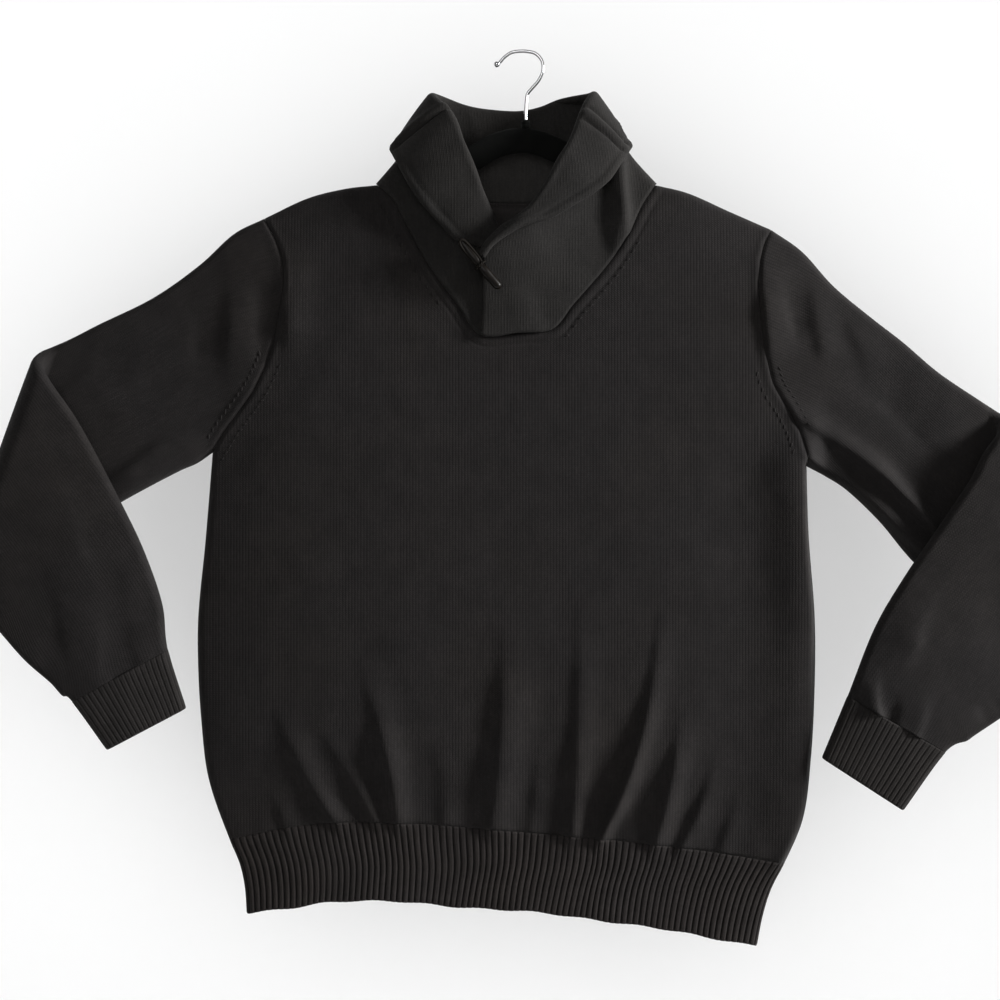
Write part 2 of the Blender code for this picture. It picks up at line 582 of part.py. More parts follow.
def sleeve(side, folds):
    """Sleeve from armhole to cuff, in two stretches that meet at the elbow's crease."""
    upper, lower = sleeve_rungs(side)
    grid = tube(side, upper, ARM_SHARES, folds)
    n = outward(grid)
    hole = grid[0]
    n[0] = within_cut(n[0], np.roll(hole, -1, axis=0) - np.roll(hole, 1, axis=0))
    n[-1] = elbow_cut(n[-1], grid[-1])
    under = len(ARM_SHARES) - 1
    for end, inside in ((0, 1), (under, under - 1)):
        n[0, end] = unit((hole[end] - hole[inside]) * (1, 0, 1))
    shell(f"sleeve_{side}", grid, grid - WALL * n, "knit", wrap=True)
    grid = tube(side, lower, ARM_SHARES, [])
    n = outward(grid)
    n[0] = elbow_cut(n[0], grid[0])
    shell(f"forearm_{side}", grid, grid - WALL * n, "knit", wrap=True)


def cuff(side):
    """The ribbed cuff: the sleeve's last rungs, ribs outside and plain inside."""
    last = len(UPPER_ARM[side]) + len(FOREARM[side]) - 2
    rungs = np.array([last + CUFF_TRIM, last + 1])
    dense = 0.5 - 0.5 * np.cos(np.linspace(0, math.pi, 200))

    def even(count):
        ring = tube(side, rungs[1:2], dense, [])[0][:len(dense)]
        return np.interp(even_steps(ring, count), np.linspace(0, 1, len(dense)), dense)

    outer = tube(side, rungs, even(2 * CUFF_RIBS + 1), [])
    relief = RIB_HEIGHT * np.where(np.arange(outer.shape[1]) % 2, 1, -1)
    outer = outer + outward(outer) * relief[None, :, None]
    plain = tube(side, rungs, even(CUFF_RIBS + 1), [])
    return shell(f"cuff_{side}", outer, plain - (WALL + RIB_HEIGHT) * outward(plain), "rib", wrap=True)


# ---- collar -----------------------------------------------------------------------------------
def on_neckline(points, front, back):
    """Put points of the collar's seam on the panels' top edges, half a wall inside their faces.

    The lap of the right end keeps its own depth, before the left end and the panel.
    """
    placed = points.copy()
    for facing, edge in ((-1, front), (1, back)):
        share = np.linspace(0, len(edge) - 1, 40 * len(edge))
        line = np.stack([np.interp(share, np.arange(len(edge)), edge[:, k]) for k in (0, 2)], axis=-1)
        line = line[(line[:, 0] > NECK_BACK[0][0] - 1) & (line[:, 0] < NECK_BACK[-1][0] + 1)]
        mine = points[:, 1] * facing > 0
        gap = np.linalg.norm(points[mine][:, None, ::2] - line[None], axis=2)
        placed[mine, ::2] = line[gap.argmin(axis=1)]
        y = facing * (depth(placed[mine, 0], placed[mine, 2], []) - WALL / 2)
        lap = points[mine, 1] < LAP_DEPTH
        placed[mine, 1] = np.where(lap, points[mine, 1], y)
    return placed


def collar_middle(front, back):
    """Middle surface of the collar band: two rows to a station, columns from seam to free edge.

    The stand rises from the seam to the roll, bowed in a little.  The roll is half a circle square
    to the roll line, and the fall runs from it down to the free edge, bowed out a little.
    """
    knots = np.arange(len(COLLAR))
    s = np.linspace(0, knots[-1], 2 * len(COLLAR) - 1)
    seam, roll, free = (spline(knots, [row[k] for row in COLLAR], s) for k in (1, 2, 3))
    seam = on_neckline(seam, front, back)
    up = unit(roll - seam)
    seam = seam + up * COLLAR_GAP
    run = unit(np.gradient(roll, axis=0))
    rise = unit(up - run * np.sum(up * run, axis=1, keepdims=True))
    out = np.cross(run, rise)
    foot = roll - rise * COLLAR_ROLL
    columns = []
    for t in np.linspace(0, 1, 4)[:-1]:
        columns.append(seam + (foot - seam) * t - out * COLLAR_BOW * math.sin(math.pi * t))
    for turn in np.linspace(0, math.pi, 5):
        columns.append(foot + COLLAR_ROLL * (rise * math.sin(turn) + out * (1 - math.cos(turn))))
    end = columns[-1]
    for t in (0.5, 1.0):
        columns.append(end + (free - end) * t + out * FALL_BOW * math.sin(math.pi * t))
    return np.stack(columns, axis=1)


def shawl_collar(front, back):
    middle = collar_middle(front, back)
    n = normals(middle)
    return shell("shawl_collar", middle + n * COLLAR_WALL / 2, middle - n * COLLAR_WALL / 2, "collar")


# ---- hanger, hook and toggle ------------------------------------------------------------------
def ring_faces(rows, around, closed=False):
    """Faces of a round bar of so many rings, with its two ends closed, or joined to each other."""
    number = np.arange(rows * around).reshape(rows, around)
    number = np.concatenate([number, number[:, :1]], axis=1)
    if closed:
        number = np.concatenate([number, number[:1]], axis=0)
    faces = [face for a, b in zip(number[:-1], number[1:]) for face in strip(a, b)]
    if not closed:
        faces += [tuple(number[0, :-1]), tuple(number[-1, :-1][::-1])]
    return faces


def rod(name, path, radii, colour, sides=8, closed=False):
    """A round bar along a path, with its own radius at each point; closed makes it a ring."""
    path, radii = np.asarray(path, float), np.asarray(radii, float)
    run = np.roll(path, -1, axis=0) - np.roll(path, 1, axis=0) if closed else np.gradient(path, axis=0)
    run = unit(run)
    across = np.cross(run[0], run[len(run) // 4]) if closed else np.array([0.0, 1.0, 0.0])
    one = unit(np.cross(run, across))
    other = np.cross(one, run)
    turn = np.linspace(0, 2 * math.pi, sides, endpoint=False)[None, :, None]
    ring = np.cos(turn) * one[:, None] + np.sin(turn) * other[:, None]
    points = path[:, None] + radii[:, None, None] * ring
    return add_object(name, points.reshape(-1, 3) * MM, ring_faces(len(path), sides, closed), colour)


def hanger_body():
    """A flat bar with rounded edges under the shoulders, its height shrinking to round tips."""
    top = along(HANGER_TOP, HANGER_STEPS)
    run = unit(np.gradient(top, axis=0))
    down = np.stack([run[:, 1], -run[:, 0]], axis=1)
    steps = np.arange(HANGER_STEPS)
    reach = np.clip(np.minimum(steps, steps[::-1]) / TIP_STEPS, TIP_START, 1)
    height = HANGER_HEIGHT * np.sqrt(1 - (1 - reach) ** 2)
    thick, low = np.transpose(HANGER_SECTION)
    place = top[:, None] + down[:, None] * height[:, None, None] * low[None, :, None]
    points = np.stack([place[..., 0], place[..., 0] * 0 + thick * HANGER_THICK, place[..., 1]], axis=-1)
    return add_object("hanger_body", points.reshape(-1, 3) * MM, ring_faces(HANGER_STEPS, len(low)), "velvet")


def hanger_hook():
    """The wire hook, from the ferrule round to its ball tip."""
    path = along(HOOK_PATH, HOOK_STEPS)
    path = np.stack([path[:, 0], 0 * path[:, 0], path[:, 1]], axis=-1)
    from_ball = np.linalg.norm(path - path[-1], axis=1) - BALL_RADIUS
    ball = np.sqrt(np.maximum(BALL_RADIUS ** 2 - from_ball ** 2, 0))
    radii = np.maximum(WIRE_RADIUS, ball)
    radii[-1] = BALL_END
    return rod("hanger_hook", path, radii, "chrome")


def hanger_ferrule():
    """The short neck between bar and hook, with its ends chamfered."""
    bottom, top = FERRULE["bottom"], FERRULE["top"]
    z = np.array([bottom, bottom + 1, top - 1, top])
    path = np.stack([HOOK_PATH[0][0] + 0 * z, 0 * z, z], axis=-1)
    radii = FERRULE["radius"] * np.array([FERRULE_CHAMFER, 1, 1, FERRULE_CHAMFER])
    return rod("hanger_ferrule", path, radii, "velvet", sides=12)


def toggle():
    a, b = (np.array(p, float) for p in TOGGLE_ENDS)
    t = np.linspace(0, 1, 13)
    path = a + (b - a) * t[:, None]
    path[:, 1] -= TOGGLE_BOW * 4 * t * (1 - t)
    radii = TOGGLE_RADIUS * (1 - TOGGLE_TAPER * (2 * t - 1) ** 2)
    radii[[0, -1]] *= TOGGLE_END
    return rod("toggle", path, radii, "horn", sides=10)


def toggle_loop():
    """An oval ring of cord round the toggle's middle."""
    a, b = (np.array(p, float) for p in TOGGLE_ENDS)
    axis = unit(b - a)
    middle = (a + b) / 2 + (0, LOOP_DROP - TOGGLE_BOW, 0)
    u = unit(np.cross(axis, (0, 1, 0)))
    v = np.cross(axis, u)
    turn = np.linspace(0, 2 * math.pi, 16, endpoint=False)[:, None]
    reach = TOGGLE_RADIUS + LOOP_SLACK + LOOP_WIRE
    path = middle + reach * np.cos(turn) * u + (reach + LOOP_DROP) * np.sin(turn) * v
    return rod("toggle_loop", path, np.full(len(turn), LOOP_WIRE), "cord", sides=6, closed=True)


def main():
    for thing in list(bpy.data.objects):
        bpy.data.objects.remove(thing, do_unlink=True)
    front, back = front_panel(), back_panel()
    hem_face("hem_front", -1)
    hem_face("hem_back", 1)
    sleeve("left", LEFT_SLEEVE_FOLDS)
    sleeve("right", RIGHT_SLEEVE_FOLDS)
    cuff("left")
    cuff("right")
    shawl_collar(front, back)
    hanger_body()
    hanger_hook()
    hanger_ferrule()
    toggle()
    toggle_loop()


main()
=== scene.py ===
"""The shawl-collar sweater on its hanger, dressed in knit, rib, velvet, wire and horn.

Tables are in millimetres and meshes in metres.  +Z is up, the front faces -Y, and "left" and "right"
are the viewer's.  Torso and sleeves share one outline, drawn flat, and one depth field; a sleeve is
drawn straight and then folded at the elbow.  UV maps are in metres of cloth, U across the wales.
"""
import math

import bpy
import numpy as np
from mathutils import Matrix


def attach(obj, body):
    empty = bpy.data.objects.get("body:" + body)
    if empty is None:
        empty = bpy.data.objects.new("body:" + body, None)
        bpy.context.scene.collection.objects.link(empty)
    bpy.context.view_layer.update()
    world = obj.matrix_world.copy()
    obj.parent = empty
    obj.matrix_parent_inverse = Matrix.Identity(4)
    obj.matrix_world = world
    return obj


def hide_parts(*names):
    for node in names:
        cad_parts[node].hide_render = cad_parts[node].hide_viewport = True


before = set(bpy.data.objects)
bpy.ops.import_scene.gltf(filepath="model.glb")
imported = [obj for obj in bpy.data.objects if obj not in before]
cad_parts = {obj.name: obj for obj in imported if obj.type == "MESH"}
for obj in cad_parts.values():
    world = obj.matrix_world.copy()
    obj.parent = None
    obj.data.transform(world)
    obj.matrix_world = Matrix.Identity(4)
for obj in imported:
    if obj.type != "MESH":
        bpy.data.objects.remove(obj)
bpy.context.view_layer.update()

MM = 0.001
SIDES = ("left", "right")

# ---- sizes shared with the solids, in millimetres
WALL = 2.5
COLLAR_WALL = 4.0
SEAM_GAP = 0.35  # between front and back where they are sewn
THINNEST = 0.3  # least half depth of a sleeve
EDGE_ROUND = 6.5  # how round the silhouette is, seen in section
EDGE_LEFT = 0.55  # share of that roundness left at the hem
SWELL_REACH = 50.0  # how fast the cloth swells away from its outline
FOLD_MARGIN = 7.0  # width along the outline in which a fold runs out
FOLDS_BELOW = 14.0  # folds run out from above the hem's top to this far below it
FOLDS_RUN_OUT = 22.0  # and take this height to do so
EASE_START = 30.0  # height over which the body's slack sets in above the hem
PUCKER_REACH = 17.0  # height of the small gathers above the hem
HEM_PINCH = 0.42  # share of the torso's swelling that is left at the ribbed hem
HEM_BLOUSE = 90.0  # height over which the torso swells above the hem
TORSO_REACH = 330.0  # |x| past which the hem no longer pinches
FOLD_RADIUS = 12.0  # elbow fold, to the cloth's middle
FOREARM_SETTLE = 4.5  # how far the forearm sinks back towards the middle plane
SETTLE_START = 110.0  # distance from the elbow at which it begins to
SETTLE_SPAN = 160.0  # and length in which it has done so
HOLE_BLEND = 2.2  # rungs over which a sleeve's rings turn from the armhole's curve to straight
HEM_RIBS = 88  # on each face
CUFF_RIBS = 20  # on each face
RIB_HEIGHT = 0.7  # of the ribs' ridges above the cloth
GROOVE_DEPTH = 1.3  # of their grooves below it
RIDGE_BREADTH = 0.6  # the lower, the broader the ridges and the narrower the grooves
RIB_PITCH = 6.0  # of one rib in the cloth's own map
RIB_STEPS = 8  # grid columns to a rib
RIB_ROWS = np.array([
    0, 0.03, 0.1, 0.2, 0.32, 0.44, 0.56, 0.68, 0.79, 0.88, 0.94, 0.965, 0.982, 0.993, 1.0])
RIB_WANDER = 0.7  # how far the hem's ribs stray sideways
CUFF_RELIEF = 0.45  # the cuffs' ribs are this share of the hem's in height
HEM_HEIGHT = 74.0
HEM_WAVE = 0.8  # height of the hem's slow waves
RIM_RADIUS = 2.2  # rounding of the free edges
RIM_CLOSE = 0.94  # how nearly a rounded edge comes together
HEM_GAP = 0.03  # from the line where body and hem join, to each
CUFF_TRIM = 0.0006  # half of the cuff's seam gap, in rungs
COLLAR_ROLL = 3.4  # radius of the collar's roll, to the cloth's middle
LAP_DEPTH = -20.5  # collar seams further forward than this lie so much before the panel
COLLAR_GAP = 0.2  # from the panels' neckline, along the stand
COLLAR_BOW = 4.0  # the stand bows in this far between seam and roll
FALL_BOW = 1.5  # and the fall bows out this far
COLLAR_WAVE = 0.45  # height of the collar's slow waves
STAND_STEPS, ROLL_STEPS, FALL_STEPS = 30, 14, 24
BAND_ROWS = 290
BAND_ENDS = np.array([0, 0.012, 0.035, 0.07, 0.12])  # close rows at the band's ends, in stations

# ---- outline, in millimetres (x, z)
SHOULDER = {
    "left": [
        (-136, -127), (-164, -130), (-201, -139), (-244, -159)],
    "right": [
        (131, -127), (160, -134), (201, -152), (242, -170)]}
ARMHOLE = {
    "left": [
        (-244, -159), (-232, -181), (-225, -200), (-224, -222), (-228, -248), (-233, -277),
        (-241, -302), (-253, -325), (-269, -347), (-283, -366), (-294, -384)],
    "right": [
        (242, -170), (235, -182), (230, -200), (228, -223), (230, -261), (235, -291), (242, -319),
        (257, -343), (267, -364), (276, -397)]}
SIDE = {
    "left": [
        (-294, -384), (-301, -469), (-308, -544), (-308, -588), (-305, -640), (-298, -696),
        (-278, -754), (-268, -777), (-263, -799), (-261, -826)],
    "right": [
        (276, -397), (278, -461), (284, -544), (284, -602), (280, -680), (272, -737), (255, -777),
        (243, -799), (234, -826), (228, -856)]}
NECK_FRONT = [
    (-136, -127), (-120, -143), (-111, -160), (-99, -183), (-88, -203), (-75, -222), (-60, -242),
    (-36, -273), (-2, -271), (32, -267), (51, -244), (66, -227), (83, -207), (96, -188), (107, -169),
    (118, -147), (131, -127)]
NECK_BACK = [
    (-136, -127), (-118, -134), (-82, -139), (-43, -141), (0, -142), (40, -141), (79, -139),
    (115, -134), (131, -127)]
HEM_TOP = [
    (-278, -754), (-190, -738), (-102, -738), (-13, -745), (75, -753), (163, -763), (255, -777)]
HEM_END = [
    (-261, -826), (-221, -820), (-181, -813), (-124, -813), (-57, -818), (30, -825), (118, -837),
    (228, -856)]
UPPER_ARM = {
    "left": [
        ((-244, -159), (-294, -384)), ((-274, -174), (-309, -394)), ((-307, -204), (-327, -402)),
        ((-351, -235), (-367, -423)), ((-402, -260), (-441, -464)), ((-438, -278), (-511, -493))],
    "right": [
        ((242, -170), (276, -397)), ((272, -191), (295, -407)), ((302, -224), (316, -421)),
        ((338, -254), (347, -451)), ((369, -278), (380, -490)), ((403, -307), (431, -532)),
        ((446, -336), (482, -579))]}
# Forearm rungs are given where they lie after the fold.
FOREARM = {
    "left": [
        ((-444, -316), (-515, -527)), ((-415, -359), (-491, -555)), ((-375, -435), (-468, -581)),
        ((-354, -480), (-444, -602)), ((-338, -528), (-433, -614)), ((-333, -571), (-423, -620)),
        ((-316, -627), (-390, -666))],
    "right": [
        ((443, -379), (481, -618)), ((427, -409), (468, -627)), ((397, -454), (455, -636)),
        ((363, -504), (431, -652)), ((336, -551), (424, -657)), ((311, -615), (403, -668)),
        ((287, -674), (363, -723))]}
CREASE = {"left": ((-438, -278), (-0.32, -0.95)), "right": ((446, -336), (0.142, -0.99))}
# Half depth inside the outline, by distance from the middle.
DEPTH_TABLE = [
    (0, 20), (230, 19.4), (280, 17.2), (330, 13.5), (430, 10.5), (520, 10.5), (650, 12.5), (800, 9)]

# ---- folds: start x z, end x z, bend to one side, half width, height (minus is a trough)
# A fold drawn downwards is steep on its left side and broad on its right.
FRONT_FOLDS = [
    (-234, -615, -174, -738, -5, 8, 6.5), (-200, -630, -136, -739, 3, 7, 4.5),
    (-153, -570, -115, -742, 5, 9, 8.5), (-11, -525, -26, -744, 4, 13, 8.5),
    (60, -520, 50, -751, 2, 9, 6), (136, -515, 76, -755, 14, 6.5, 9.5),
    (158, -615, 129, -759, 3, 8, 7.5), (190, -670, 154, -763, 3, 7, 4.5),
    (-268, -516, -198, -496, 3, 16, 1.6), (-240, -700, -222, -742, 2, 8, 2.5),
    (20, -650, 12, -748, 2, 9, 2.2), (-78, -640, -70, -741, 3, 12, 2.4), (96, -690, 84, -757, 2, 7, -2),
    (212, -700, 192, -766, 2, 9, 2.2), (-205, -430, -120, -560, 20, 30, 0.7),
    (150, -430, 60, -560, -18, 32, 0.6), (-215, -300, -150, -340, -10, 22, -0.8),
    (205, -330, 130, -372, 10, 24, -0.5)]
# Folds that cross the armhole seams, shared by the body and the sleeve's near face.
SEAM_FOLDS = {
    "left": [
        (-221, -172, -219, -262, 2, 12, 4), (-262, -395, -215, -430, -3, 14, 0.8)],
    "right": [
        (238, -174, 238, -276, -3, 12, 4.5), (262, -395, 225, -425, 3, 14, 0.8),
        (238, -980, 271, -408, -20, 25, 16)]}
FRONT_ALL = FRONT_FOLDS + SEAM_FOLDS["left"] + SEAM_FOLDS["right"]
BACK_FOLDS = [
    (-205, -660, -165, -747, 4, 14, 5), (-120, -630, -84, -745, 5, 13, 6),
    (-158, -650, -128, -745, -3, 11, -4), (-44, -600, -40, -749, 3, 13, -4.5),
    (20, -610, 14, -751, -4, 14, 5), (72, -640, 60, -755, 2, 12, -4), (118, -600, 96, -757, -8, 12, 7),
    (140, -640, 122, -757, -3, 9, -4), (170, -670, 150, -760, -3, 10, 5),
    (-250, -650, -236, -750, 3, 14, 3), (232, -640, 222, -768, -4, 14, 3),
    (-10, -640, -14, -748, 2, 9, 2.5), (190, -450, 90, -600, -18, 34, 1.6),
    (-190, -440, -90, -590, 18, 34, 1.6), (-60, -180, 60, -184, 10, 22, -1.5),
    (-200, -330, -120, -372, -12, 24, -1.8), (198, -340, 120, -380, 12, 24, -1.8)]
# Folds of the sleeve's near face above the elbow, and of its far face, which shows below the fold.
ARM_FOLDS = {
    "left": [
        (-290, -362, -370, -400, -6, 12, 3), (-277, -186, -275, -286, 4, 14, 2.6),
        (-250, -200, -246, -280, 2, 12, -1.6), (-308, -235, -304, -280, 3, 16, -1.2),
        (-330, -300, -400, -330, 6, 22, 1.8), (-290, -340, -228, -372, 5, 11, 4.5),
        (-396, -290, -432, -330, 4, 16, 2.2), (-350, -400, -420, -440, -4, 12, 2.2)],
    "right": [
        (200, -322, 392, -453, 16, 7, 9), (280, -388, 386, -479, 4, 8, 6),
        (284, -205, 288, -275, -3, 11, 3), (259, -206, 262, -262, -3, 8, -1.8),
        (316, -232, 330, -284, -4, 15, 1.8), (300, -300, 372, -356, 6, 20, -2.2),
        (372, -330, 432, -400, -6, 18, 2.2), (400, -420, 440, -500, -5, 14, -2.2)]}
FOREARM_FOLDS = {
    "left": [
        (-384, -470, -366, -590, -6, 16, -1.8), (-356, -555, -350, -615, 3, 13, 2.2),
        (-410, -500, -400, -590, 4, 16, 1.4), (-452, -400, -420, -470, 6, 18, 2),
        (-470, -470, -440, -560, 5, 18, -1.8), (-392, -586, -390, -618, 2, 8, 1.4)],
    "right": [
        (336, -585, 338, -634, -3, 8, 4.4), (322, -596, 318, -640, 2, 6, -2.4),
        (352, -606, 350, -644, 2, 7, -2.8), (420, -640, 460, -620, 3, 9, -3.6),
        (400, -500, 372, -560, -5, 16, 2.4), (436, -470, 452, -560, 6, 18, -2),
        (300, -560, 326, -520, 3, 8, 2.4), (384, -600, 372, -654, 2, 8, 2.4)]}
REAR_FOLDS = {
    "left": [
        (-290, -360, -370, -398, -6, 12, 5), (-262, -200, -258, -300, 4, 14, 2.4),
        (-330, -290, -400, -326, 6, 22, 2.2), (-400, -300, -430, -350, 4, 16, -2.2)],
    "right": [
        (274, -352, 345, -402, 6, 12, 6), (345, -402, 396, -470, 5, 11, 5),
        (276, -210, 284, -270, -3, 12, 2.6), (330, -300, 390, -370, 6, 20, -2.2)]}
OUTER_FOREARM_FOLDS = {
    "left": [
        (-400, -520, -386, -600, 4, 14, 2.2)],
    "right": [
        (400, -520, 378, -610, -4, 14, 2.2)]}

# ---- collar: its seam, roll and free edge at each station along the band, x y z
# Stations 0 to 3 lie in the right lap, 10 on the right shoulder, 14 at the middle of the back,
# 18 on the left shoulder and 26 and 27 in the left lap, under the right one.
COLLAR = [
    ((-36, -25.5, -273), (-36, -32, -197), (-34.5, -37, -201)),
    ((-9, -25.5, -272), (-29.5, -35, -186), (-26.5, -40.5, -190)),
    ((15, -25, -271), (-18, -36.5, -173), (-13, -43, -180)),
    ((32, -22.5, -267), (-4, -36.5, -164), (3.5, -43.5, -171)),
    ((51, -21.5, -244), (9, -35.5, -154), (26, -41, -165)),
    ((66, -21, -227), (23, -34, -133), (48, -39, -152)),
    ((83, -20, -207), (35, -31, -111), (69, -36, -139)),
    ((96, -18, -188), (44, -27, -96), (84, -32, -126)),
    ((107, -14, -169), (51, -20, -79), (94, -25, -111)),
    ((118, -8, -147), (59, -11, -59), (102, -14, -98)), ((131, 0, -127), (66, 0, -43), (107, 0, -89)),
    ((115, 9, -134), (65, 12, -38), (101, 18, -92)), ((79, 14, -139), (40, 21, -41), (72, 29, -110)),
    ((40, 16, -141), (20, 25, -47), (32, 31, -124)), ((0, 17, -142), (-3, 26, -51), (-2, 32, -130)),
    ((-43, 16, -141), (-28, 25, -50), (-38, 31, -125)),
    ((-82, 14, -139), (-51, 21, -46), (-80, 29, -111)),
    ((-118, 9, -134), (-75, 12, -40), (-115, 18, -94)),
    ((-136, 0, -127), (-78, 0, -45), (-122, 0, -92)),
    ((-120, -8, -143), (-66, -9, -57), (-117, -13, -103)),
    ((-111, -13, -160), (-60, -16, -69), (-111, -21, -115)),
    ((-99, -18, -183), (-54, -21, -85), (-103, -27, -130)),
    ((-88, -20, -203), (-48, -24, -100), (-94, -30, -144)),
    ((-75, -21, -222), (-41, -25.5, -120), (-83, -31, -157)),
    ((-60, -21, -242), (-35, -25, -137), (-72, -30.5, -169)),
    ((-48, -21.5, -258), (-29, -22, -154), (-59, -27.5, -182)),
    ((-36, -21, -273), (-21, -20, -171), (-36, -26, -188)),
    ((-8, -21, -271), (-9, -20.5, -182), (-14, -26.5, -193))]
# Creases across the band: station and share at one end, the same at the other, half width in
# stations, height.  Shares run from 0 at the seam, past 0.5 at the roll, to 1 at the free edge.
# A plus stands out of the stand, and sinks into the fall.
COLLAR_CREASES = [
    (8.5, 0.55, 8.75, 1.0, 0.10, 2.2), (8.8, 0.55, 9.1, 1.0, 0.15, -2.2),
    (9.1, 0.55, 9.45, 1.0, 0.10, 1.8), (19.2, 0.52, 18.5, 1.0, 0.10, 2.4),
    (18.8, 0.52, 18.1, 1.0, 0.16, -2.2), (7.5, 0.0, 11.7, 0.42, 0.26, 3.5),
    (7.15, 0.0, 11.35, 0.42, 0.8, 8), (4.4, 0.0, 3.6, 0.4, 0.8, 1.2), (1.6, 0.05, 1.4, 0.4, 0.7, 0.8),
    (21.6, 0.1, 21.9, 0.45, 0.8, 1.2), (23.0, 0.6, 23.4, 1.0, 0.8, 1.0), (5.4, 0.6, 5.2, 1.0, 0.8, 1.0),
    (25.0, 0.55, 25.2, 1.0, 0.5, -1.2), (14.0, 0.55, 14.0, 1.0, 1.2, 1.2),
    (12.2, 0.55, 12.2, 1.0, 0.6, -1.0), (16.2, 0.55, 16.2, 1.0, 0.6, -1.0)]

# ---- hanger, hook and toggle
HANGER_TOP = [
    (-224, -160), (-206, -144.85), (-170, -136), (-140, -138), (-106, -124), (-76, -106), (-48, -90),
    (-27, -78), (0, -72), (22, -75), (46, -85), (78, -104), (106, -124), (133, -139.5), (160, -139.5),
    (196, -154.45), (222, -174)]
HANGER_HEIGHT = 24.0
HANGER_THICK = 6.0
HANGER_STEPS = 181
HANGER_TIP = 12.0  # steps in which its ends are rounded
WIRE_RADIUS = 1.7
HOOK_PATH = [
    (6.4, -64.7), (6.4, -56), (7.2, -45), (8.1, -39.5), (12.3, -34), (18.4, -27), (22.6, -18),
    (22.2, -8), (16, -0.6), (7, 1.6), (0, 1.7), (-7.3, 0.4), (-13.4, -3.6), (-19.5, -9.8), (-24, -12)]
BALL_RADIUS = 3.0
FERRULE_X = 6.4
FERRULE_BOTTOM = -72.2
FERRULE_PROFILE = [  # height above its bottom, radius
    (0.0, 3.2), (0.25, 3.8), (0.8, 4.15), (2.6, 4.2), (3.1, 3.9), (3.6, 3.85), (4.1, 4.2),
    (6.2, 4.15), (6.9, 3.7), (7.2, 2.9)]
TOGGLE_ENDS = ((-56, -38, -184), (-18, -34, -230))
TOGGLE_BOW = 2.2  # how far its middle stands forward
TOGGLE_SAG = 1.6  # and hangs
TOGGLE_LEAN = 0.69  # angle of its grain from upright
TOGGLE_RADIUS = 4.2
LOOP_WIRE = 1.0  # from the cord's inner side to its middle
LOOP_SLACK = 0.7  # between toggle and cord
LOOP_DROP = 1.6  # the ring round the waist is this much deeper than wide
STRAND_RADIUS = 0.7
STRAND_TWIST = 0.45  # radius of the twist of its two strands
LOOP_PLACE = 0.27  # share of the toggle's length at the middle of the flat loop
LOOP_LENGTH = 30.0  # of the flat loop over the toggle's upper half
LOOP_WIDTH = 7.0
LOOP_CORD = 1.35  # radius of its cord

# ---- knit
WALE = 2.9  # width of one column of stitches
COURSE = 2.1  # height of one row of stitches
COLLAR_RIB = 3.0  # pitch of the collar's fine rib
STREAK, YARN, MOTTLE, WORN = 0.16, 0.38, 0.22, 0.15  # how much each darkens and lightens the knit
MARK_SIZE = (2.8, 1.1, 0.85)  # half length, half width and height of a fashioning mark
MARK_SUNK = 0.25
MARK_GAP = 6.8
MARK_TILT = 0.5  # from the seam's own line
AIR = 0.19  # strength of the light from all round

# ---- shape of folds and seams
LEAN = 0.42  # how much wider a fold is on one side than on the other
FOLD_START = 1.35  # a fold's breadth at its start, in widths
FOLD_TAPER = 0.4  # how much of that is lost by its end
FOLD_FADE = 1.6  # reach past its ends, in widths
FOLD_WAVER = ((0.16, 7, 1.7), (0.08, 17, 2.3))  # how much, how often, shift from fold to fold
# Bells beside a seam or edge: height, distance from it, half width.
ARMHOLE_SEAM = ((0.4, 4.2, 2.4), (-0.9, 0, 1.5))
NECK_SEAM = ((0.4, 4.5, 2.4), (-0.8, 0, 1.6), (-0.55, 9.5, 1.2))
COLLAR_EDGE = ((0.35, 2.4, 2.4), (-0.22, 7, 1.8))  # as shares of its thickness

# ---- grids
FINE = 3.0  # widest grid step of the cloth

STEP_IN = np.array([0, 0.35, 1.1, 2.5, 4.5, 6.7, 9.5, 12.5])  # grid steps next to a round edge
LOW_ROWS = 108  # of the body below the armpits
LOW_CROWDING = 0.96
SLEEVE_RINGS = (4, 55, 25, 69, 11)  # to the seam, the upper arm, the elbow, the forearm, the cuff
RING_STEPS = 66  # of each face of a sleeve
RING_EVEN = 0.45  # the rest of the steps crowd towards the edges
JUST_PAST = 1e-6


# ---- curves and fields
def spline(knots, values, x):
    """Smooth curve through a table: cubic Hermite pieces whose slopes are the chord slopes' means."""
    knots, values = np.asarray(knots, float), np.asarray(values, float)
    chord = np.diff(values, axis=0) / np.diff(knots)[(...,) + (None,) * (values.ndim - 1)]
    slope = np.concatenate([chord[:1], (chord[1:] + chord[:-1]) / 2, chord[-1:]])
    x = np.clip(x, knots[0], knots[-1])
    i = np.clip(np.searchsorted(knots, x, side="right") - 1, 0, len(knots) - 2)
    width = knots[i + 1] - knots[i]
    t = (x - knots[i]) / width
    if values.ndim > 1:
        t, width = t[..., None], width[..., None]
    return ((1 + 2 * t) * (1 - t) ** 2 * values[i] + t * (1 - t) ** 2 * width * slope[i]
            + t * t * (3 - 2 * t) * values[i + 1] + t * t * (t - 1) * width * slope[i + 1])


def along(points, count):
    """A smooth curve through points, read at even steps of its own length."""
    points = np.asarray(points, float)
    steps = lengths(points)
    dense = spline(steps, points, np.linspace(0, steps[-1], 40 * len(points)))
    dense_steps = lengths(dense)
    return read(np.linspace(0, dense_steps[-1], count), dense_steps, dense)


def lengths(points):
    """Distance from the first point to each along a chain."""
    return np.concatenate([[0], np.cumsum(np.linalg.norm(np.diff(points, axis=0), axis=1))])


def read_table(rows, x):
    """Smooth curve through a table of (x, value) rows."""
    return spline(*np.transpose(rows), x)


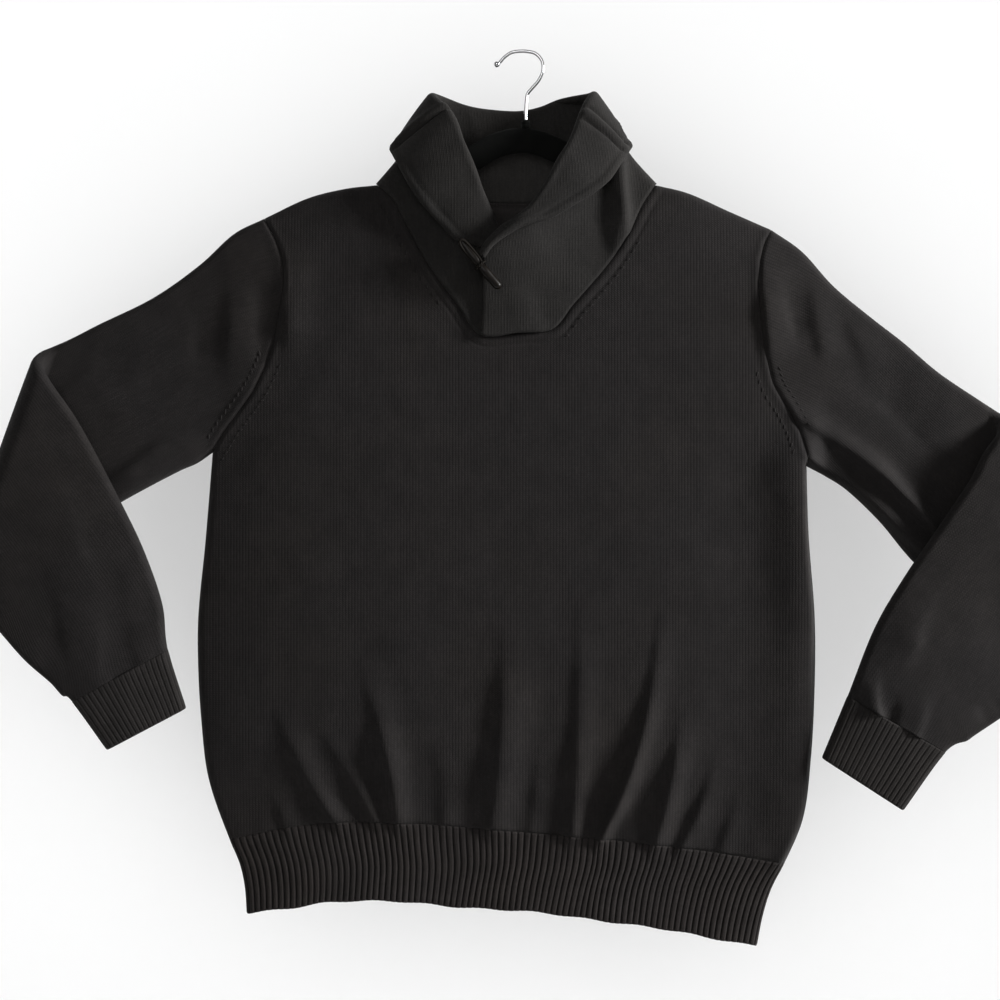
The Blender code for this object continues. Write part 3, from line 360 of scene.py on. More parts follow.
def read(places, known, points):
    """Points between known ones, column by column, at places along them."""
    return np.stack([np.interp(places, known, column) for column in points.T], axis=-1)


def points_of(*parts):
    """Points from their coordinates, which may be arrays and numbers."""
    return np.stack(np.broadcast_arrays(*parts), axis=-1)


def unit(v):
    """Vectors made one long."""
    return v / np.maximum(np.linalg.norm(v, axis=-1, keepdims=True), 1e-9)


def smooth_step(x):
    """A soft step from 0 to 1."""
    x = np.clip(x, 0, 1)
    return x * x * (3 - 2 * x)


def bump_of(d, width):
    """A bell over distance d."""
    return np.exp(-(d / width) ** 2)


def full_turn(count):
    """Angles at even steps all the way round."""
    return np.linspace(0, 2 * math.pi, count, endpoint=False)


def eased(count):
    """Shares from 0 to 1, closer towards both ends."""
    return 0.5 - 0.5 * np.cos(np.linspace(0, math.pi, count))


def steps_between(stops, counts):
    """Values at so many even steps in each stretch between stops, the last stop included."""
    parts = [np.linspace(a, b, n, endpoint=False) for a, b, n in zip(stops[:-1], stops[1:], counts)]
    return np.append(np.concatenate(parts), stops[-1])


def quarter_round(x):
    """Height of a quarter circle at a share of its width."""
    return np.sqrt(1 - (1 - np.clip(x, 0, 1)) ** 2)


def bells(d, rows):
    """Relief over distance d: a sum of bells, each with its height, place and half width."""
    return sum(height * bump_of(d - place, width) for height, place, width in rows)


def distance(x, z, line):
    """Distance from points to an open chain of straight pieces."""
    best = np.full(np.shape(x), np.inf)
    for (ax, az), (bx, bz) in zip(line[:-1], line[1:]):
        length2 = (bx - ax) ** 2 + (bz - az) ** 2
        t = np.clip(((x - ax) * (bx - ax) + (z - az) * (bz - az)) / length2, 0, 1)
        best = np.minimum(best, np.hypot(x - ax - t * (bx - ax), z - az - t * (bz - az)))
    return best


def from_lines(x, z, lines):
    """Distance to the nearest of several chains."""
    return np.minimum(*(distance(x, z, line) for line in lines))


def between(line, share):
    """A value at a share of the way from a list's first to its last."""
    return line[0] + (line[-1] - line[0]) * share


def crease_frame(side):
    """Point, direction and outward normal of an elbow's crease, in the flat drawing."""
    point, run = (np.array(v, float) for v in CREASE[side])
    run /= np.linalg.norm(run)
    outward = np.array([-run[1], run[0]])
    return point, run, outward * np.sign(outward[0] * point[0])


def unfold(side, q):
    """Where a forearm point lies once the sleeve is straightened about its crease."""
    point, run, outward = crease_frame(side)
    q = np.asarray(q, float) - point
    return point + run * (q @ run) + outward * (math.pi * FOLD_RADIUS - q @ outward)


def unfolded(side, folds):
    """Folds of the forearm, drawn where they lie after the elbow's fold, on the straightened sleeve."""
    return [(*unfold(side, (x0, z0)), *unfold(side, (x1, z1)), -bend, width, height)
            for x0, z0, x1, z1, bend, width, height in folds]


def fold(side, x, z, off):
    """Carry flat points, off in front of the cloth's middle, round the elbow's fold."""
    point, run, outward = crease_frame(side)
    s = (x - point[0]) * outward[0] + (z - point[1]) * outward[1]
    t = (x - point[0]) * run[0] + (z - point[1]) * run[1]
    turn = np.clip(s / FOLD_RADIUS, 0, math.pi)
    past = np.maximum(s - math.pi * FOLD_RADIUS, 0)
    out = np.minimum(s, 0) + (FOLD_RADIUS - off) * np.sin(turn) - past
    settle = FOREARM_SETTLE * smooth_step((past - SETTLE_START) / SETTLE_SPAN)
    y = -FOLD_RADIUS + (FOLD_RADIUS - off) * np.cos(turn) + settle
    return points_of(point[0] + run[0] * t + outward[0] * out, y,
                     point[1] + run[1] * t + outward[1] * out)


def sleeve_edges(side):
    """Rungs of the straightened sleeve, as an array of rung, edge (0 top, 1 under), x z."""
    forearm = [[unfold(side, p) for p in rung] for rung in FOREARM[side]]
    return np.array([list(rung) for rung in UPPER_ARM[side]] + forearm, float)


def torso_edge(side, z):
    """x of the panel's edge at a height: the armhole down to the armpit, then the side seam."""
    hole = spline(*np.transpose([(-b, a) for a, b in ARMHOLE[side]]), -z)
    seam = spline(*np.transpose([(-b, a) for a, b in SIDE[side]]), -z)
    return np.where(z > ARMHOLE[side][-1][1], hole, seam)


def torso_x(share, z):
    """x at a share of the panel's width at a height."""
    left, right = torso_edge("left", z), torso_edge("right", z)
    return left + (right - left) * share


def sleeve_flat(side, rung, across):
    """Flat place at a rung number and a share of the way from the top edge to the under edge."""
    rungs = sleeve_edges(side)
    numbers = np.arange(len(rungs))
    top, under = spline(numbers, rungs[:, 0], rung), spline(numbers, rungs[:, 1], rung)
    straight = top + (under - top) * across[..., None]
    hole_z = between(rungs[0, :, 1], across)
    hole = points_of(torso_edge(side, hole_z + JUST_PAST), hole_z)
    chord = rungs[0, 0] + (rungs[0, 1] - rungs[0, 0]) * across[..., None]
    return straight + (1 - smooth_step(rung / HOLE_BLEND))[..., None] * (hole - chord)


def outlines():
    """The silhouette of the flat drawing: two lines over the shoulders and two under the arms."""
    over, under = [], []
    for side in SIDES:
        count = len(UPPER_ARM[side]) + len(FOREARM[side])
        rungs = np.linspace(0, count - 1, 8 * count)
        over.append(np.vstack([along(SHOULDER[side], 30), sleeve_flat(side, rungs, 0 * rungs)[1:]]))
        z = np.linspace(SIDE[side][0][1], SIDE[side][-1][1], 50)
        seam = points_of(torso_edge(side, z - JUST_PAST), z)
        under.append(np.vstack([sleeve_flat(side, rungs, 0 * rungs + 1)[::-1], seam[1:]]))
    return over, under


OUTLINES = outlines()


def hem_line(x):
    """Height of the line where body and hem join."""
    return read_table(HEM_TOP, x)


def folds_at(x, z, folds):
    """Sum of listed folds: each a bell across a bent line, uneven and fading towards its ends.

    The line is its chord moved sideways by a parabola.  The bell is narrower on the right of the
    way that the line runs, and it swells and shrinks slowly along it.
    """
    total = np.zeros(np.shape(x))
    for number, (x0, z0, x1, z1, bend, width, height) in enumerate(folds):
        chord = np.hypot(x1 - x0, z1 - z0)
        ux, uz = (x1 - x0) / chord, (z1 - z0) / chord
        t = ((x - x0) * ux + (z - z0) * uz) / chord
        inside = np.clip(t, 0, 1)
        side = (x - x0) * -uz + (z - z0) * ux - bend * 4 * inside * (1 - inside)
        beyond = (t - inside) * chord / (FOLD_FADE * width)
        uneven = 1 + sum(much * np.sin(pace * t + shift * number) for much, pace, shift in FOLD_WAVER)
        spread = width * (1 + LEAN * np.tanh(3 * side / width)) * (FOLD_START - FOLD_TAPER * inside)
        rise = smooth_step(0.03 + 1.15 * t)
        total += height * rise * uneven * np.exp(-(side / spread) ** 2 - beyond ** 2)
    return total


def seam_relief(x, z, side):
    """The armhole's seam: a narrow groove with a soft ridge beside it."""
    return bells(distance(x, z, ARMHOLE[side]), ARMHOLE_SEAM)


def ease(x, z):
    """The slack of hanging knit: slow waves, a few tenths of a millimetre to one millimetre high."""
    return (0.30 * np.sin(x / 31 + 1.3 * np.sin(z / 83)) * np.sin(z / 57 + 0.8)
            + 0.16 * np.sin(x / 17 + 2 + 1.1 * np.sin(z / 41)) * np.sin(z / 29 + 2.4)
            + 0.25 * np.sin((x + z) / 43 + 0.6) * np.cos((x - 2 * z) / 97))


def hem_puckers(x, z):
    """Small gathers where the body's stitches are drawn into the rib."""
    up = np.maximum(z - hem_line(x), 0)
    wave = np.sin(x / 3.9 + 0.8 * np.sin(x / 23)) * 0.28 + np.sin(x / 8.3 + 1.2 * np.sin(x / 37)) * 0.5
    return wave * bump_of(up, PUCKER_REACH) * (1 - np.exp(-up / 4))


def depth(x, z, folds, kind="body"):
    """Half depth of the garment: round at the outline, swelling inwards, pinched at the hem.

    Body and sleeve have slack besides their folds, and the body is gathered at the hem.
    """
    over, under = (from_lines(x, z, lines) for lines in OUTLINES)
    from_edge = np.minimum(over, under)
    near = np.clip(from_edge / EDGE_ROUND, 0, 1)
    above = z - hem_line(x)
    inside = (1 - np.exp(-over / SWELL_REACH)) * (1 - np.exp(-under / SWELL_REACH))
    blouse = HEM_PINCH + (1 - HEM_PINCH) * smooth_step(above / HEM_BLOUSE)
    blouse = np.where(np.abs(x) < TORSO_REACH, blouse, 1)
    swell = (read_table(DEPTH_TABLE, np.abs(x)) - EDGE_ROUND) * inside * blouse
    edge = EDGE_ROUND * quarter_round(near) * (EDGE_LEFT + (1 - EDGE_LEFT) * blouse)
    runs_out = smooth_step((above + FOLDS_BELOW) / FOLDS_RUN_OUT) * smooth_step(from_edge / FOLD_MARGIN)
    relief = folds_at(x, z, folds) * runs_out
    if kind == "body":
        relief = relief + (ease(x, z) * smooth_step(above / EASE_START) + hem_puckers(x, z)) * near
    if kind == "sleeve":
        relief = relief + ease(x, z) * near
    return edge + swell + relief


# ---- meshes
def grid_faces(number, wrap=False):
    """Quads of a grid of vertex numbers; wrap joins its last column to its first."""
    if wrap:
        number = np.concatenate([number, number[:, :1]], axis=1)
    a, b, c, d = number[:-1, :-1], number[:-1, 1:], number[1:, 1:], number[1:, :-1]
    return np.stack([a, b, c, d], axis=-1).reshape(-1, 4)


def numbered(rows, columns):
    """Vertex numbers of a grid."""
    return np.arange(rows * columns).reshape(rows, columns)


def rim_faces(outer, inner):
    """Quads between two rows of vertex numbers of equal count."""
    return np.stack([outer[1:], outer[:-1], inner[:-1], inner[1:]], axis=-1)


def volume_sign(points, faces):
    """1 if the faces of a closed mesh point outwards, -1 if inwards, by its signed volume."""
    a, b, c, d = (points[faces[:, k]] for k in range(4))
    return np.sign(np.sum(a * np.cross(b, c)) + np.sum(a * np.cross(c, d)))


def put(name, data):
    """A new object in the scene."""
    thing = bpy.data.objects.new(name, data)
    bpy.context.scene.collection.objects.link(thing)
    return thing


def add_piece(name, points, faces, finish, uv, stands_for, slot):
    """A closed mesh of quads from arrays in millimetres, smooth, with its UV map, riding the part."""
    points = points.reshape(-1, 3) * MM
    middle = points.mean(axis=0)
    if volume_sign(points - middle, faces) < 0:
        faces = faces[:, ::-1]
    mesh = bpy.data.meshes.new(name)
    mesh.vertices.add(len(points))
    mesh.vertices.foreach_set("co", points.ravel())
    mesh.loops.add(faces.size)
    mesh.loops.foreach_set("vertex_index", faces.ravel())
    mesh.polygons.add(len(faces))
    mesh.polygons.foreach_set("loop_start", np.arange(0, faces.size, 4))
    mesh.polygons.foreach_set("use_smooth", np.ones(len(faces), bool))
    if uv is not None:
        cloth_map = mesh.uv_layers.new(name="cloth")
        cloth_map.data.foreach_set("uv", (uv.reshape(-1, 2) * MM)[faces.ravel()].ravel())
    mesh.update(calc_edges=True)
    mesh.validate()
    mesh.materials.append(finish)
    piece = put(name, mesh)
    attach(piece, "root")
    if stands_for:
        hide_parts(*stands_for)
    return piece


def round_rim(outer, inner, reach):
    """Draw outer and inner together towards a cut edge, so that the edge is half round.

    reach is each point's distance from the edge.
    """
    share = 0.5 * (1 - quarter_round(reach / RIM_RADIUS)) * RIM_CLOSE
    gap = (inner - outer) * share[..., None]
    return outer + gap, inner - gap


def wall(name, outer, inner, uv, finish, nodes, slot, wrap=False):
    """A closed wall between two grids of points: their faces, and a rim along every open edge."""
    out = numbered(*outer.shape[:2])
    inn = out + out.size
    faces = [grid_faces(out, wrap), grid_faces(inn[:, ::-1], wrap)]
    ring_out, ring_inn = out, inn
    if wrap:
        ring_out, ring_inn = (np.concatenate([n, n[:, :1]], axis=1) for n in (out, inn))
    faces += [rim_faces(ring_out[0], ring_inn[0]), rim_faces(ring_out[-1, ::-1], ring_inn[-1, ::-1])]
    if not wrap:
        faces += [rim_faces(out[::-1, 0], inn[::-1, 0]), rim_faces(out[:, -1], inn[:, -1])]
    points = np.concatenate([outer.reshape(-1, 3), inner.reshape(-1, 3)])
    return add_piece(name, points, np.concatenate(faces), finish,
                     np.concatenate([uv.reshape(-1, 2)] * 2), nodes, slot)


def normals(grid, wrap=False):
    """Unit normals of a grid of points, by differences along its rows and columns."""
    if wrap:
        padded = np.concatenate([grid[:, -1:], grid, grid[:, :1]], axis=1)
        across = padded[:, 2:] - padded[:, :-2]
    else:
        across = np.gradient(grid, axis=1)
    return unit(np.cross(np.gradient(grid, axis=0), across))


def around(ring):
    """Direction of a closed chain at each of its points, as the step over both neighbours."""
    return np.roll(ring, -1, axis=0) - np.roll(ring, 1, axis=0)


def within_cut(n, run):
    """Turn normals along an edge, run being its direction, so that a wall's rim stays on the cut."""
    cut = unit(points_of(run[:, 2], 0, -run[:, 0]))
    return unit(n - cut * np.sum(n * cut, axis=-1, keepdims=True))


def within_seam(n, line):
    """The same for an edge of a panel, whose sewn stretches are cut by the middle plane instead."""
    sewn = np.abs(line[:, 1:2]) < 2 * SEAM_GAP
    return np.where(sewn, unit(n * (1, 0, 1)), within_cut(n, np.gradient(line, axis=0)))


def inward(grid, facing):
    """The inner points of a panel, a wall's thickness in and never past the middle plane."""
    n = normals(grid)
    n = n * np.sign(np.sum(n[..., 1]) * facing)
    for edge in ((0, slice(None)), (-1, slice(None)), (slice(None), 0), (slice(None), -1)):
        n[edge] = within_seam(n[edge], grid[edge])
    inner = grid - WALL * n
    inner[..., 1] = facing * np.maximum(facing * inner[..., 1], SEAM_GAP / 2)
    return inner


# ---- torso
def panel_columns(neck):
    """Shares of the width where a panel has columns, and the height each starts from."""
    top = np.vstack([along(SHOULDER["left"], 90)[::-1], along(neck, 400)[1:-1],
                     along(SHOULDER["right"], 90)])
    left, right = torso_edge("left", top[:, 1]), torso_edge("right", top[:, 1])
    share = (top[:, 0] - left) / (right - left)
    width = SIDE["right"][0][0] - SIDE["left"][0][0]
    marks = np.interp([x for x, _ in neck], top[:, 0], share)
    stops = np.concatenate([STEP_IN / width, marks, 1 - STEP_IN[::-1] / width])
    counts = [max(1, round(step * width / FINE)) for step in np.diff(stops)]
    columns = steps_between(stops, counts)
    return columns, np.interp(columns, share, top[:, 1])


def torso_grid(neck, facing, folds):
    """Outer points of a panel: columns fan between its two edges, rows run from the top to the hem."""
    columns, z_top = panel_columns(neck)
    z_mid = between([ARMHOLE[side][-1][1] for side in SIDES], columns)
    z_low = hem_line(between([x for x, _ in HEM_TOP], columns)) + HEM_GAP
    height = z_top.max() - z_mid.min()
    steps = np.concatenate([STEP_IN, np.arange(STEP_IN[-1] + FINE, height, FINE)]) / height
    steps = np.append(steps[:-1], 1.0)
    rows_low = np.linspace(0, 1, LOW_ROWS)[1:] ** LOW_CROWDING
    z = np.vstack([z_top + (z_mid - z_top) * v for v in steps]
                  + [z_mid + (z_low - z_mid) * v for v in rows_low])
    x = torso_x(columns, z)
    seams = (seam_relief(x, z, "left") + seam_relief(x, z, "right")
             + bells(distance(x, z, along(neck, 80)), NECK_SEAM))
    y = facing * np.maximum(depth(x, z, folds) + seams, SEAM_GAP / 2)
    y[len(steps) - 1:, [0, -1]] = facing * SEAM_GAP / 2
    shoulder = (x[0] <= neck[0][0]) | (x[0] >= neck[-1][0])
    y[0, shoulder] = facing * SEAM_GAP / 2
    return points_of(x, y, z)


def panel(name, neck, facing, folds, finish, nodes):
    """Front or back of the body, and the line of points along its top."""
    grid = torso_grid(neck, facing, folds)
    piece = wall(f"{name}_knit", grid, inward(grid, facing), grid[..., ::2], finish, nodes, "knit")
    return piece, grid[0]


# ---- hem, sleeves and cuffs
def even_shares(points, shares, count):
    """Shares along a dense line, points being its places, read at even steps of its length."""
    steps = lengths(points)
    return np.interp(np.linspace(0, steps[-1], count), steps, shares)


def hem_point(share, drop, facing):
    """Place on the hem at a share of its width and a share of its height, ribs left out.

    The body's folds run out in it, and its lower edge is a little uneven.
    """
    top = hem_line(between([x for x, _ in HEM_TOP], share)) - HEM_GAP
    end = read_table(HEM_END, between([x for x, _ in HEM_END], share))
    z = top + (end - top) * drop
    x = torso_x(share, z)
    z = z + (0.7 * np.sin(x / 8) + 0.6 * np.sin(x / 21 + 1)) * drop ** 3
    y = depth(x, z, FRONT_ALL if facing < 0 else BACK_FOLDS, "hem")
    bulge = np.sin(np.clip(share, 0, 1) * math.pi) * HEM_WAVE
    y = y + bulge * np.sin(x / 26 + 0.7 * drop) * (0.4 + 0.6 * drop)
    y = np.where((share > 0) & (share < 1), y, 0)
    return points_of(x, facing * np.maximum(y, SEAM_GAP / 2), z)


def rib_relief(steps, share=1.0):
    """Height of a one-by-one rib: broad round ridges and narrow grooves, drawn in at the seam."""
    phase = np.arange(steps) / RIB_STEPS
    ridge = 2 * np.abs(np.sin(math.pi * phase)) ** RIDGE_BREADTH - 1
    height = np.where(ridge < 0, GROOVE_DEPTH, RIB_HEIGHT) * (1 + 0.16 * np.sin(12.9 * np.floor(phase)))
    return (share * height * ridge * (0.3 + 0.7 * smooth_step(RIB_ROWS * 12))[:, None])[..., None]


def hem_face(name, facing, finish):
    """Half of the ribbed hem: grooves and ribs outside, plain inside."""
    dense = eased(1200)
    count = RIB_STEPS * HEM_RIBS + 1
    top, low = (even_shares(hem_point(dense, drop, facing), dense, count) for drop in (0.0, 1.0))
    drop = np.repeat(RIB_ROWS[:, None], count, axis=1)
    share = top + (low - top) * drop
    plain = hem_point(share, drop, facing)
    n = normals(plain)
    n = n * np.sign(np.sum(n[..., 1]) * facing) * (1, 1, 0)
    for column in (0, -1):
        n[:, column] = within_seam(n[:, column], plain[:, column])
    outer = plain + n * rib_relief(count)
    inner = plain - (WALL + RIB_HEIGHT) * n
    wander = RIB_WANDER * np.sin(np.arange(count) / RIB_STEPS / 3 + 3 * drop) * np.sin(math.pi * share)
    outer[..., 0] += wander * np.sin(math.pi * drop)
    for grid in (outer, inner):
        grid[..., 1] = facing * np.maximum(facing * grid[..., 1], SEAM_GAP / 2)
    outer, inner = round_rim(outer, inner, (1 - drop) * HEM_HEIGHT)
    uv = points_of(np.arange(count) / RIB_STEPS * RIB_PITCH, -HEM_HEIGHT * drop)
    return wall(f"{name}_rib", outer, inner, uv, finish, [name], "rib")


def tube(side, rungs, across, near_folds, far_folds):
    """Outer points of a stretch of sleeve, each ring along its front from the top edge, then back."""
    ring = np.concatenate([across, across[-2:0:-1]])
    front = np.concatenate([np.ones(len(across)), -np.ones(len(across) - 2)])
    rung, share = np.meshgrid(rungs, ring, indexing="ij")
    flat = sleeve_flat(side, rung, share)
    x, z = flat[..., 0], flat[..., 1]
    half = np.where(front > 0, depth(x, z, near_folds, "sleeve"), depth(x, z, far_folds, "sleeve"))
    half = np.maximum(half + seam_relief(x, z, side), THINNEST)
    off = np.where((share > 0) & (share < 1), half, 0.0) * front
    away = -1 if side == "left" else 1
    top, middle, under = (sleeve_flat(side, rungs, 0 * rungs + place) for place in (0, 0.5, 1))
    width = np.linalg.norm(under - top, axis=-1)[:, None]
    uv = points_of((share - 0.5) * width * front, lengths(middle)[:, None])
    return fold(side, x + away * SEAM_GAP * np.clip(1 - rung, 0, 1), z, off), uv


def outward(grid):
    """Unit normals of a closed tube, turned to point out of it."""
    n = normals(grid, wrap=True)
    middle = grid.mean(axis=1, keepdims=True)
    return n * np.sign(np.sum(n * (grid - middle), axis=(1, 2), keepdims=True))


def sleeve(side, finish):
    """Sleeve from armhole to cuff; its rings are closer round the elbow's fold."""
    crease = len(UPPER_ARM[side]) - 1
    last = crease + len(FOREARM[side]) - 1
    stops = [0, 0.12, crease - 0.1, crease + 1, last - 0.2, last - CUFF_TRIM]
    rungs = steps_between(stops, SLEEVE_RINGS)
    far = unfolded(side, FOREARM_FOLDS[side]) + REAR_FOLDS[side]
    near = unfolded(side, OUTER_FOREARM_FOLDS[side]) + ARM_FOLDS[side] + SEAM_FOLDS[side]
    across = RING_EVEN * np.linspace(0, 1, RING_STEPS) + (1 - RING_EVEN) * eased(RING_STEPS)
    grid, uv = tube(side, rungs, across, near, far)
    n = outward(grid)
    hole = grid[0]
    n[0] = within_cut(n[0], around(hole))
    for end, inside in ((0, 1), (RING_STEPS - 1, RING_STEPS - 2)):
        n[0, end] = unit((hole[end] - hole[inside]) * (1, 0, 1))
    return wall(f"sleeve_{side}_knit", grid, grid - WALL * n, uv, finish,
                [f"sleeve_{side}", f"forearm_{side}"], "knit", wrap=True)


def cuff(side, finish):
    """The ribbed cuff: the sleeve's last rungs, ribs outside and plain inside."""
    last = len(UPPER_ARM[side]) + len(FOREARM[side]) - 2
    rungs = last + CUFF_TRIM + (1 - CUFF_TRIM) * RIB_ROWS
    count = RIB_STEPS * CUFF_RIBS + 1
    dense = eased(300)
    ring = tube(side, rungs[-1:], dense, [], [])[0][0][:len(dense)]
    plain, uv = tube(side, rungs, even_shares(ring, dense, count), [], [])
    steps = plain.shape[1]
    n = outward(plain)
    outer = plain + n * rib_relief(steps, CUFF_RELIEF)
    inner = plain - (WALL + RIB_HEIGHT) * n
    height = np.linalg.norm(plain[-1, count // 2] - plain[0, count // 2])
    outer, inner = round_rim(outer, inner, np.repeat((1 - RIB_ROWS)[:, None] * height, steps, axis=1))
    uv[..., 0] = np.arange(steps) / RIB_STEPS * RIB_PITCH
    uv[..., 1] = -RIB_ROWS[:, None] * height
    return wall(f"cuff_{side}_rib", outer, inner, uv, finish, [f"cuff_{side}"], "rib", wrap=True)


# ---- collar
def on_neckline(points, front, back):
    """Put points of the collar's seam on the panels' top edges, half a wall inside their faces."""
    placed = points.copy()
    for facing, edge in ((-1, front), (1, back)):
        share = np.linspace(0, len(edge) - 1, 12 * len(edge))
        line = read(share, np.arange(len(edge)), edge[:, ::2])
        line = line[(line[:, 0] > NECK_BACK[0][0] - 1) & (line[:, 0] < NECK_BACK[-1][0] + 1)]
        mine = points[:, 1] * facing > 0
        gap = np.linalg.norm(points[mine][:, None, ::2] - line[None], axis=2)
        placed[mine, ::2] = line[gap.argmin(axis=1)]
        y = facing * (depth(placed[mine, 0], placed[mine, 2], [], "plain") - WALL / 2)
        placed[mine, 1] = y + np.minimum(points[mine, 1] - LAP_DEPTH, 0)
    return placed


def collar_middle(s, front, back):
    """Middle surface of the collar band: rows along the band, columns from seam to free edge.

    The stand rises from the seam to the roll, bowed in a little.  The roll is half a circle square
    to the roll line, and the fall runs from it down to the free edge, bowed out a little.  The
    joins between the three are smoothed by running means along each row.
    """
    knots = np.arange(len(COLLAR))
    seam, roll, free = (spline(knots, points, s) for points in zip(*COLLAR))
    seam = on_neckline(seam, front, back)
    up = unit(roll - seam)
    seam = seam + up * COLLAR_GAP
    run = unit(np.gradient(roll, axis=0))
    rise = unit(up - run * np.sum(up * run, axis=1, keepdims=True))
    out = np.cross(run, rise)
    radius = (COLLAR_ROLL * (0.6 + 0.4 * smooth_step(s / 2.5)))[:, None]
    foot = roll - rise * radius
    t = np.linspace(0, 1, STAND_STEPS + 1)[:-1, None, None]
    stand = seam + (foot - seam) * t - out * COLLAR_BOW * np.sin(math.pi * t)
    turn = np.linspace(0, math.pi, ROLL_STEPS)[:, None, None]
    bend = foot + radius * (rise * np.sin(turn) + out * (1 - np.cos(turn)))
    t = np.linspace(0, 1, FALL_STEPS + 1)[1:, None, None]
    fall = bend[-1] + (free - bend[-1]) * t + out * FALL_BOW * np.sin(math.pi * t)
    middle = np.concatenate([stand, bend, fall]).transpose(1, 0, 2)
    for _ in range(4):
        middle[:, 1:-1] = 0.25 * middle[:, :-2] + 0.5 * middle[:, 1:-1] + 0.25 * middle[:, 2:]
    return middle


def collar_relief(s, share):
    """Creases and slow waves of the collar band, s being stations and share the way across."""
    relief = COLLAR_WAVE * np.sin(s * 2.3 + 5 * share) * smooth_step(share * 3)
    for start, first, end, last, width, height in COLLAR_CREASES:
        reach = smooth_step((share - first) * 8 + 0.5) * smooth_step((last - share) * 8 + 0.5)
        station = start + (end - start) * (share - first) / (last - first)
        relief = relief + height * bump_of(s - station, width) * reach
    return relief


def collar(front, back, finish):
    """The collar band as one closed loop in section: out to the free edge, round it and back."""
    stations = len(COLLAR) - 1
    along_band = np.linspace(0.2, stations - 0.2, BAND_ROWS)
    s = np.concatenate([BAND_ENDS, along_band, stations - BAND_ENDS[::-1]])
    middle = collar_middle(s, front, back)
    columns = middle.shape[1]
    to_roll = STAND_STEPS + ROLL_STEPS // 2
    share = steps_between([0, 0.5, 1], [to_roll, columns - to_roll - 1])
    from_edge = np.linalg.norm(middle - middle[:, -1:], axis=-1)
    relief = collar_relief(s[:, None], share) * smooth_step(from_edge / 6 + 0.3)
    middle = middle + normals(middle) * relief[..., None]
    n = normals(middle)
    from_end = np.minimum(*(np.linalg.norm(middle - middle[[end]], axis=-1) for end in (0, -1)))
    thick = COLLAR_WALL / 2 * (1 + bells(from_edge, COLLAR_EDGE))
    thick = thick * (0.12 + 0.88 * quarter_round(from_end / COLLAR_WALL * 2))
    away = unit(middle[:, -1] - middle[:, -3])
    round_edge = [middle[:, -1] + thick[:, -1:] * (n[:, -1] * math.cos(a) + away * math.sin(a))
                  for a in np.linspace(0, math.pi, 7)[1:-1]]
    loop = np.concatenate([middle + n * thick[..., None], np.stack(round_edge, axis=1),
                           (middle - n * thick[..., None])[:, ::-1]], axis=1)
    number = numbered(*loop.shape[:2])
    side_in, side_out = number[:, :columns], number[:, ::-1][:, :columns]
    caps = [rim_faces(side_in[0], side_out[0]), rim_faces(side_in[-1, ::-1], side_out[-1, ::-1])]
    tip = number[:, columns - 1:number.shape[1] - columns + 1]
    half = tip.shape[1] // 2 + 1
    caps += [rim_faces(tip[row, :half][::way], tip[row, ::-1][:half][::way])
             for row, way in ((0, 1), (-1, -1))]
    faces = np.concatenate([grid_faces(number, wrap=True)] + caps)
    uv = points_of(loop[..., 0] + 0.5 * loop[..., 1], loop[..., 2])
    return add_piece("shawl_collar_rib", loop, faces, finish, uv, ["shawl_collar"], "collar")


# ---- bars, cords and small pieces
def ring_bar(path, radii, sides, across=(0, 1, 0), closed=False):
    """Points and faces of a bar along a path: rings of so many sides with their own radii.

    Each ring is spanned by a vector square to the path and to across, and by one square to both.
    """
    run = unit(around(path) if closed else np.gradient(path, axis=0))
    one = unit(np.cross(run, np.asarray(across, float)))
    other = np.cross(one, run)
    turn = full_turn(sides)[None, :, None]
    spokes = np.cos(turn) * one[:, None] + np.sin(turn) * other[:, None]
    points = path[:, None] + radii[:, None, None] * spokes
    number = numbered(len(path), sides)
    if closed:
        return points, grid_faces(np.concatenate([number, number[:1]]), wrap=True)
    return points, closed_bar(number)


def end_faces(ring, way):
    """Quads that close an even ring of vertex numbers, as strips between its two halves."""
    half = len(ring) // 2
    upper, lower = ring[:half + 1], np.append(ring[:1], ring[::-1])[:half + 1]
    return rim_faces(upper, lower)[:, ::way]


def closed_bar(number):
    """Faces of a bar whose rings are the rows of number, with both ends closed."""
    return np.concatenate([grid_faces(number, wrap=True), end_faces(number[0], 1),
                           end_faces(number[-1], -1)])


def joined(parts):
    """Points and faces of several meshes as one."""
    starts = np.cumsum([0] + [p.reshape(-1, 3).shape[0] for p, _ in parts[:-1]])
    return (np.concatenate([p.reshape(-1, 3) for p, _ in parts]),
            np.concatenate([f + start for (_, f), start in zip(parts, starts)]))


def hanger(finish):
    """A flat bar with round edges, its height shrinking to round tips."""
    top = along(HANGER_TOP, HANGER_STEPS)
    run = unit(np.gradient(top, axis=0))
    down = points_of(run[:, 1], -run[:, 0])
    steps = np.arange(HANGER_STEPS)
    ends = np.clip(np.minimum(steps, steps[::-1]) / HANGER_TIP, 0.02, 1)
    height = HANGER_HEIGHT * quarter_round(ends)
    turn = full_turn(28)
    thick = np.sign(np.sin(turn)) * np.abs(np.sin(turn)) ** 0.55 * HANGER_THICK / 2
    low = 0.5 - 0.5 * np.sign(np.cos(turn)) * np.abs(np.cos(turn)) ** 0.8
    place = top[:, None] + down[:, None] * height[:, None, None] * low[None, :, None]
    points = points_of(place[..., 0], np.sqrt(ends)[:, None] * thick, place[..., 1])
    faces = closed_bar(numbered(HANGER_STEPS, len(turn)))
    return add_piece("hanger_flocked", points, faces, finish, None, ["hanger_body"], "velvet")


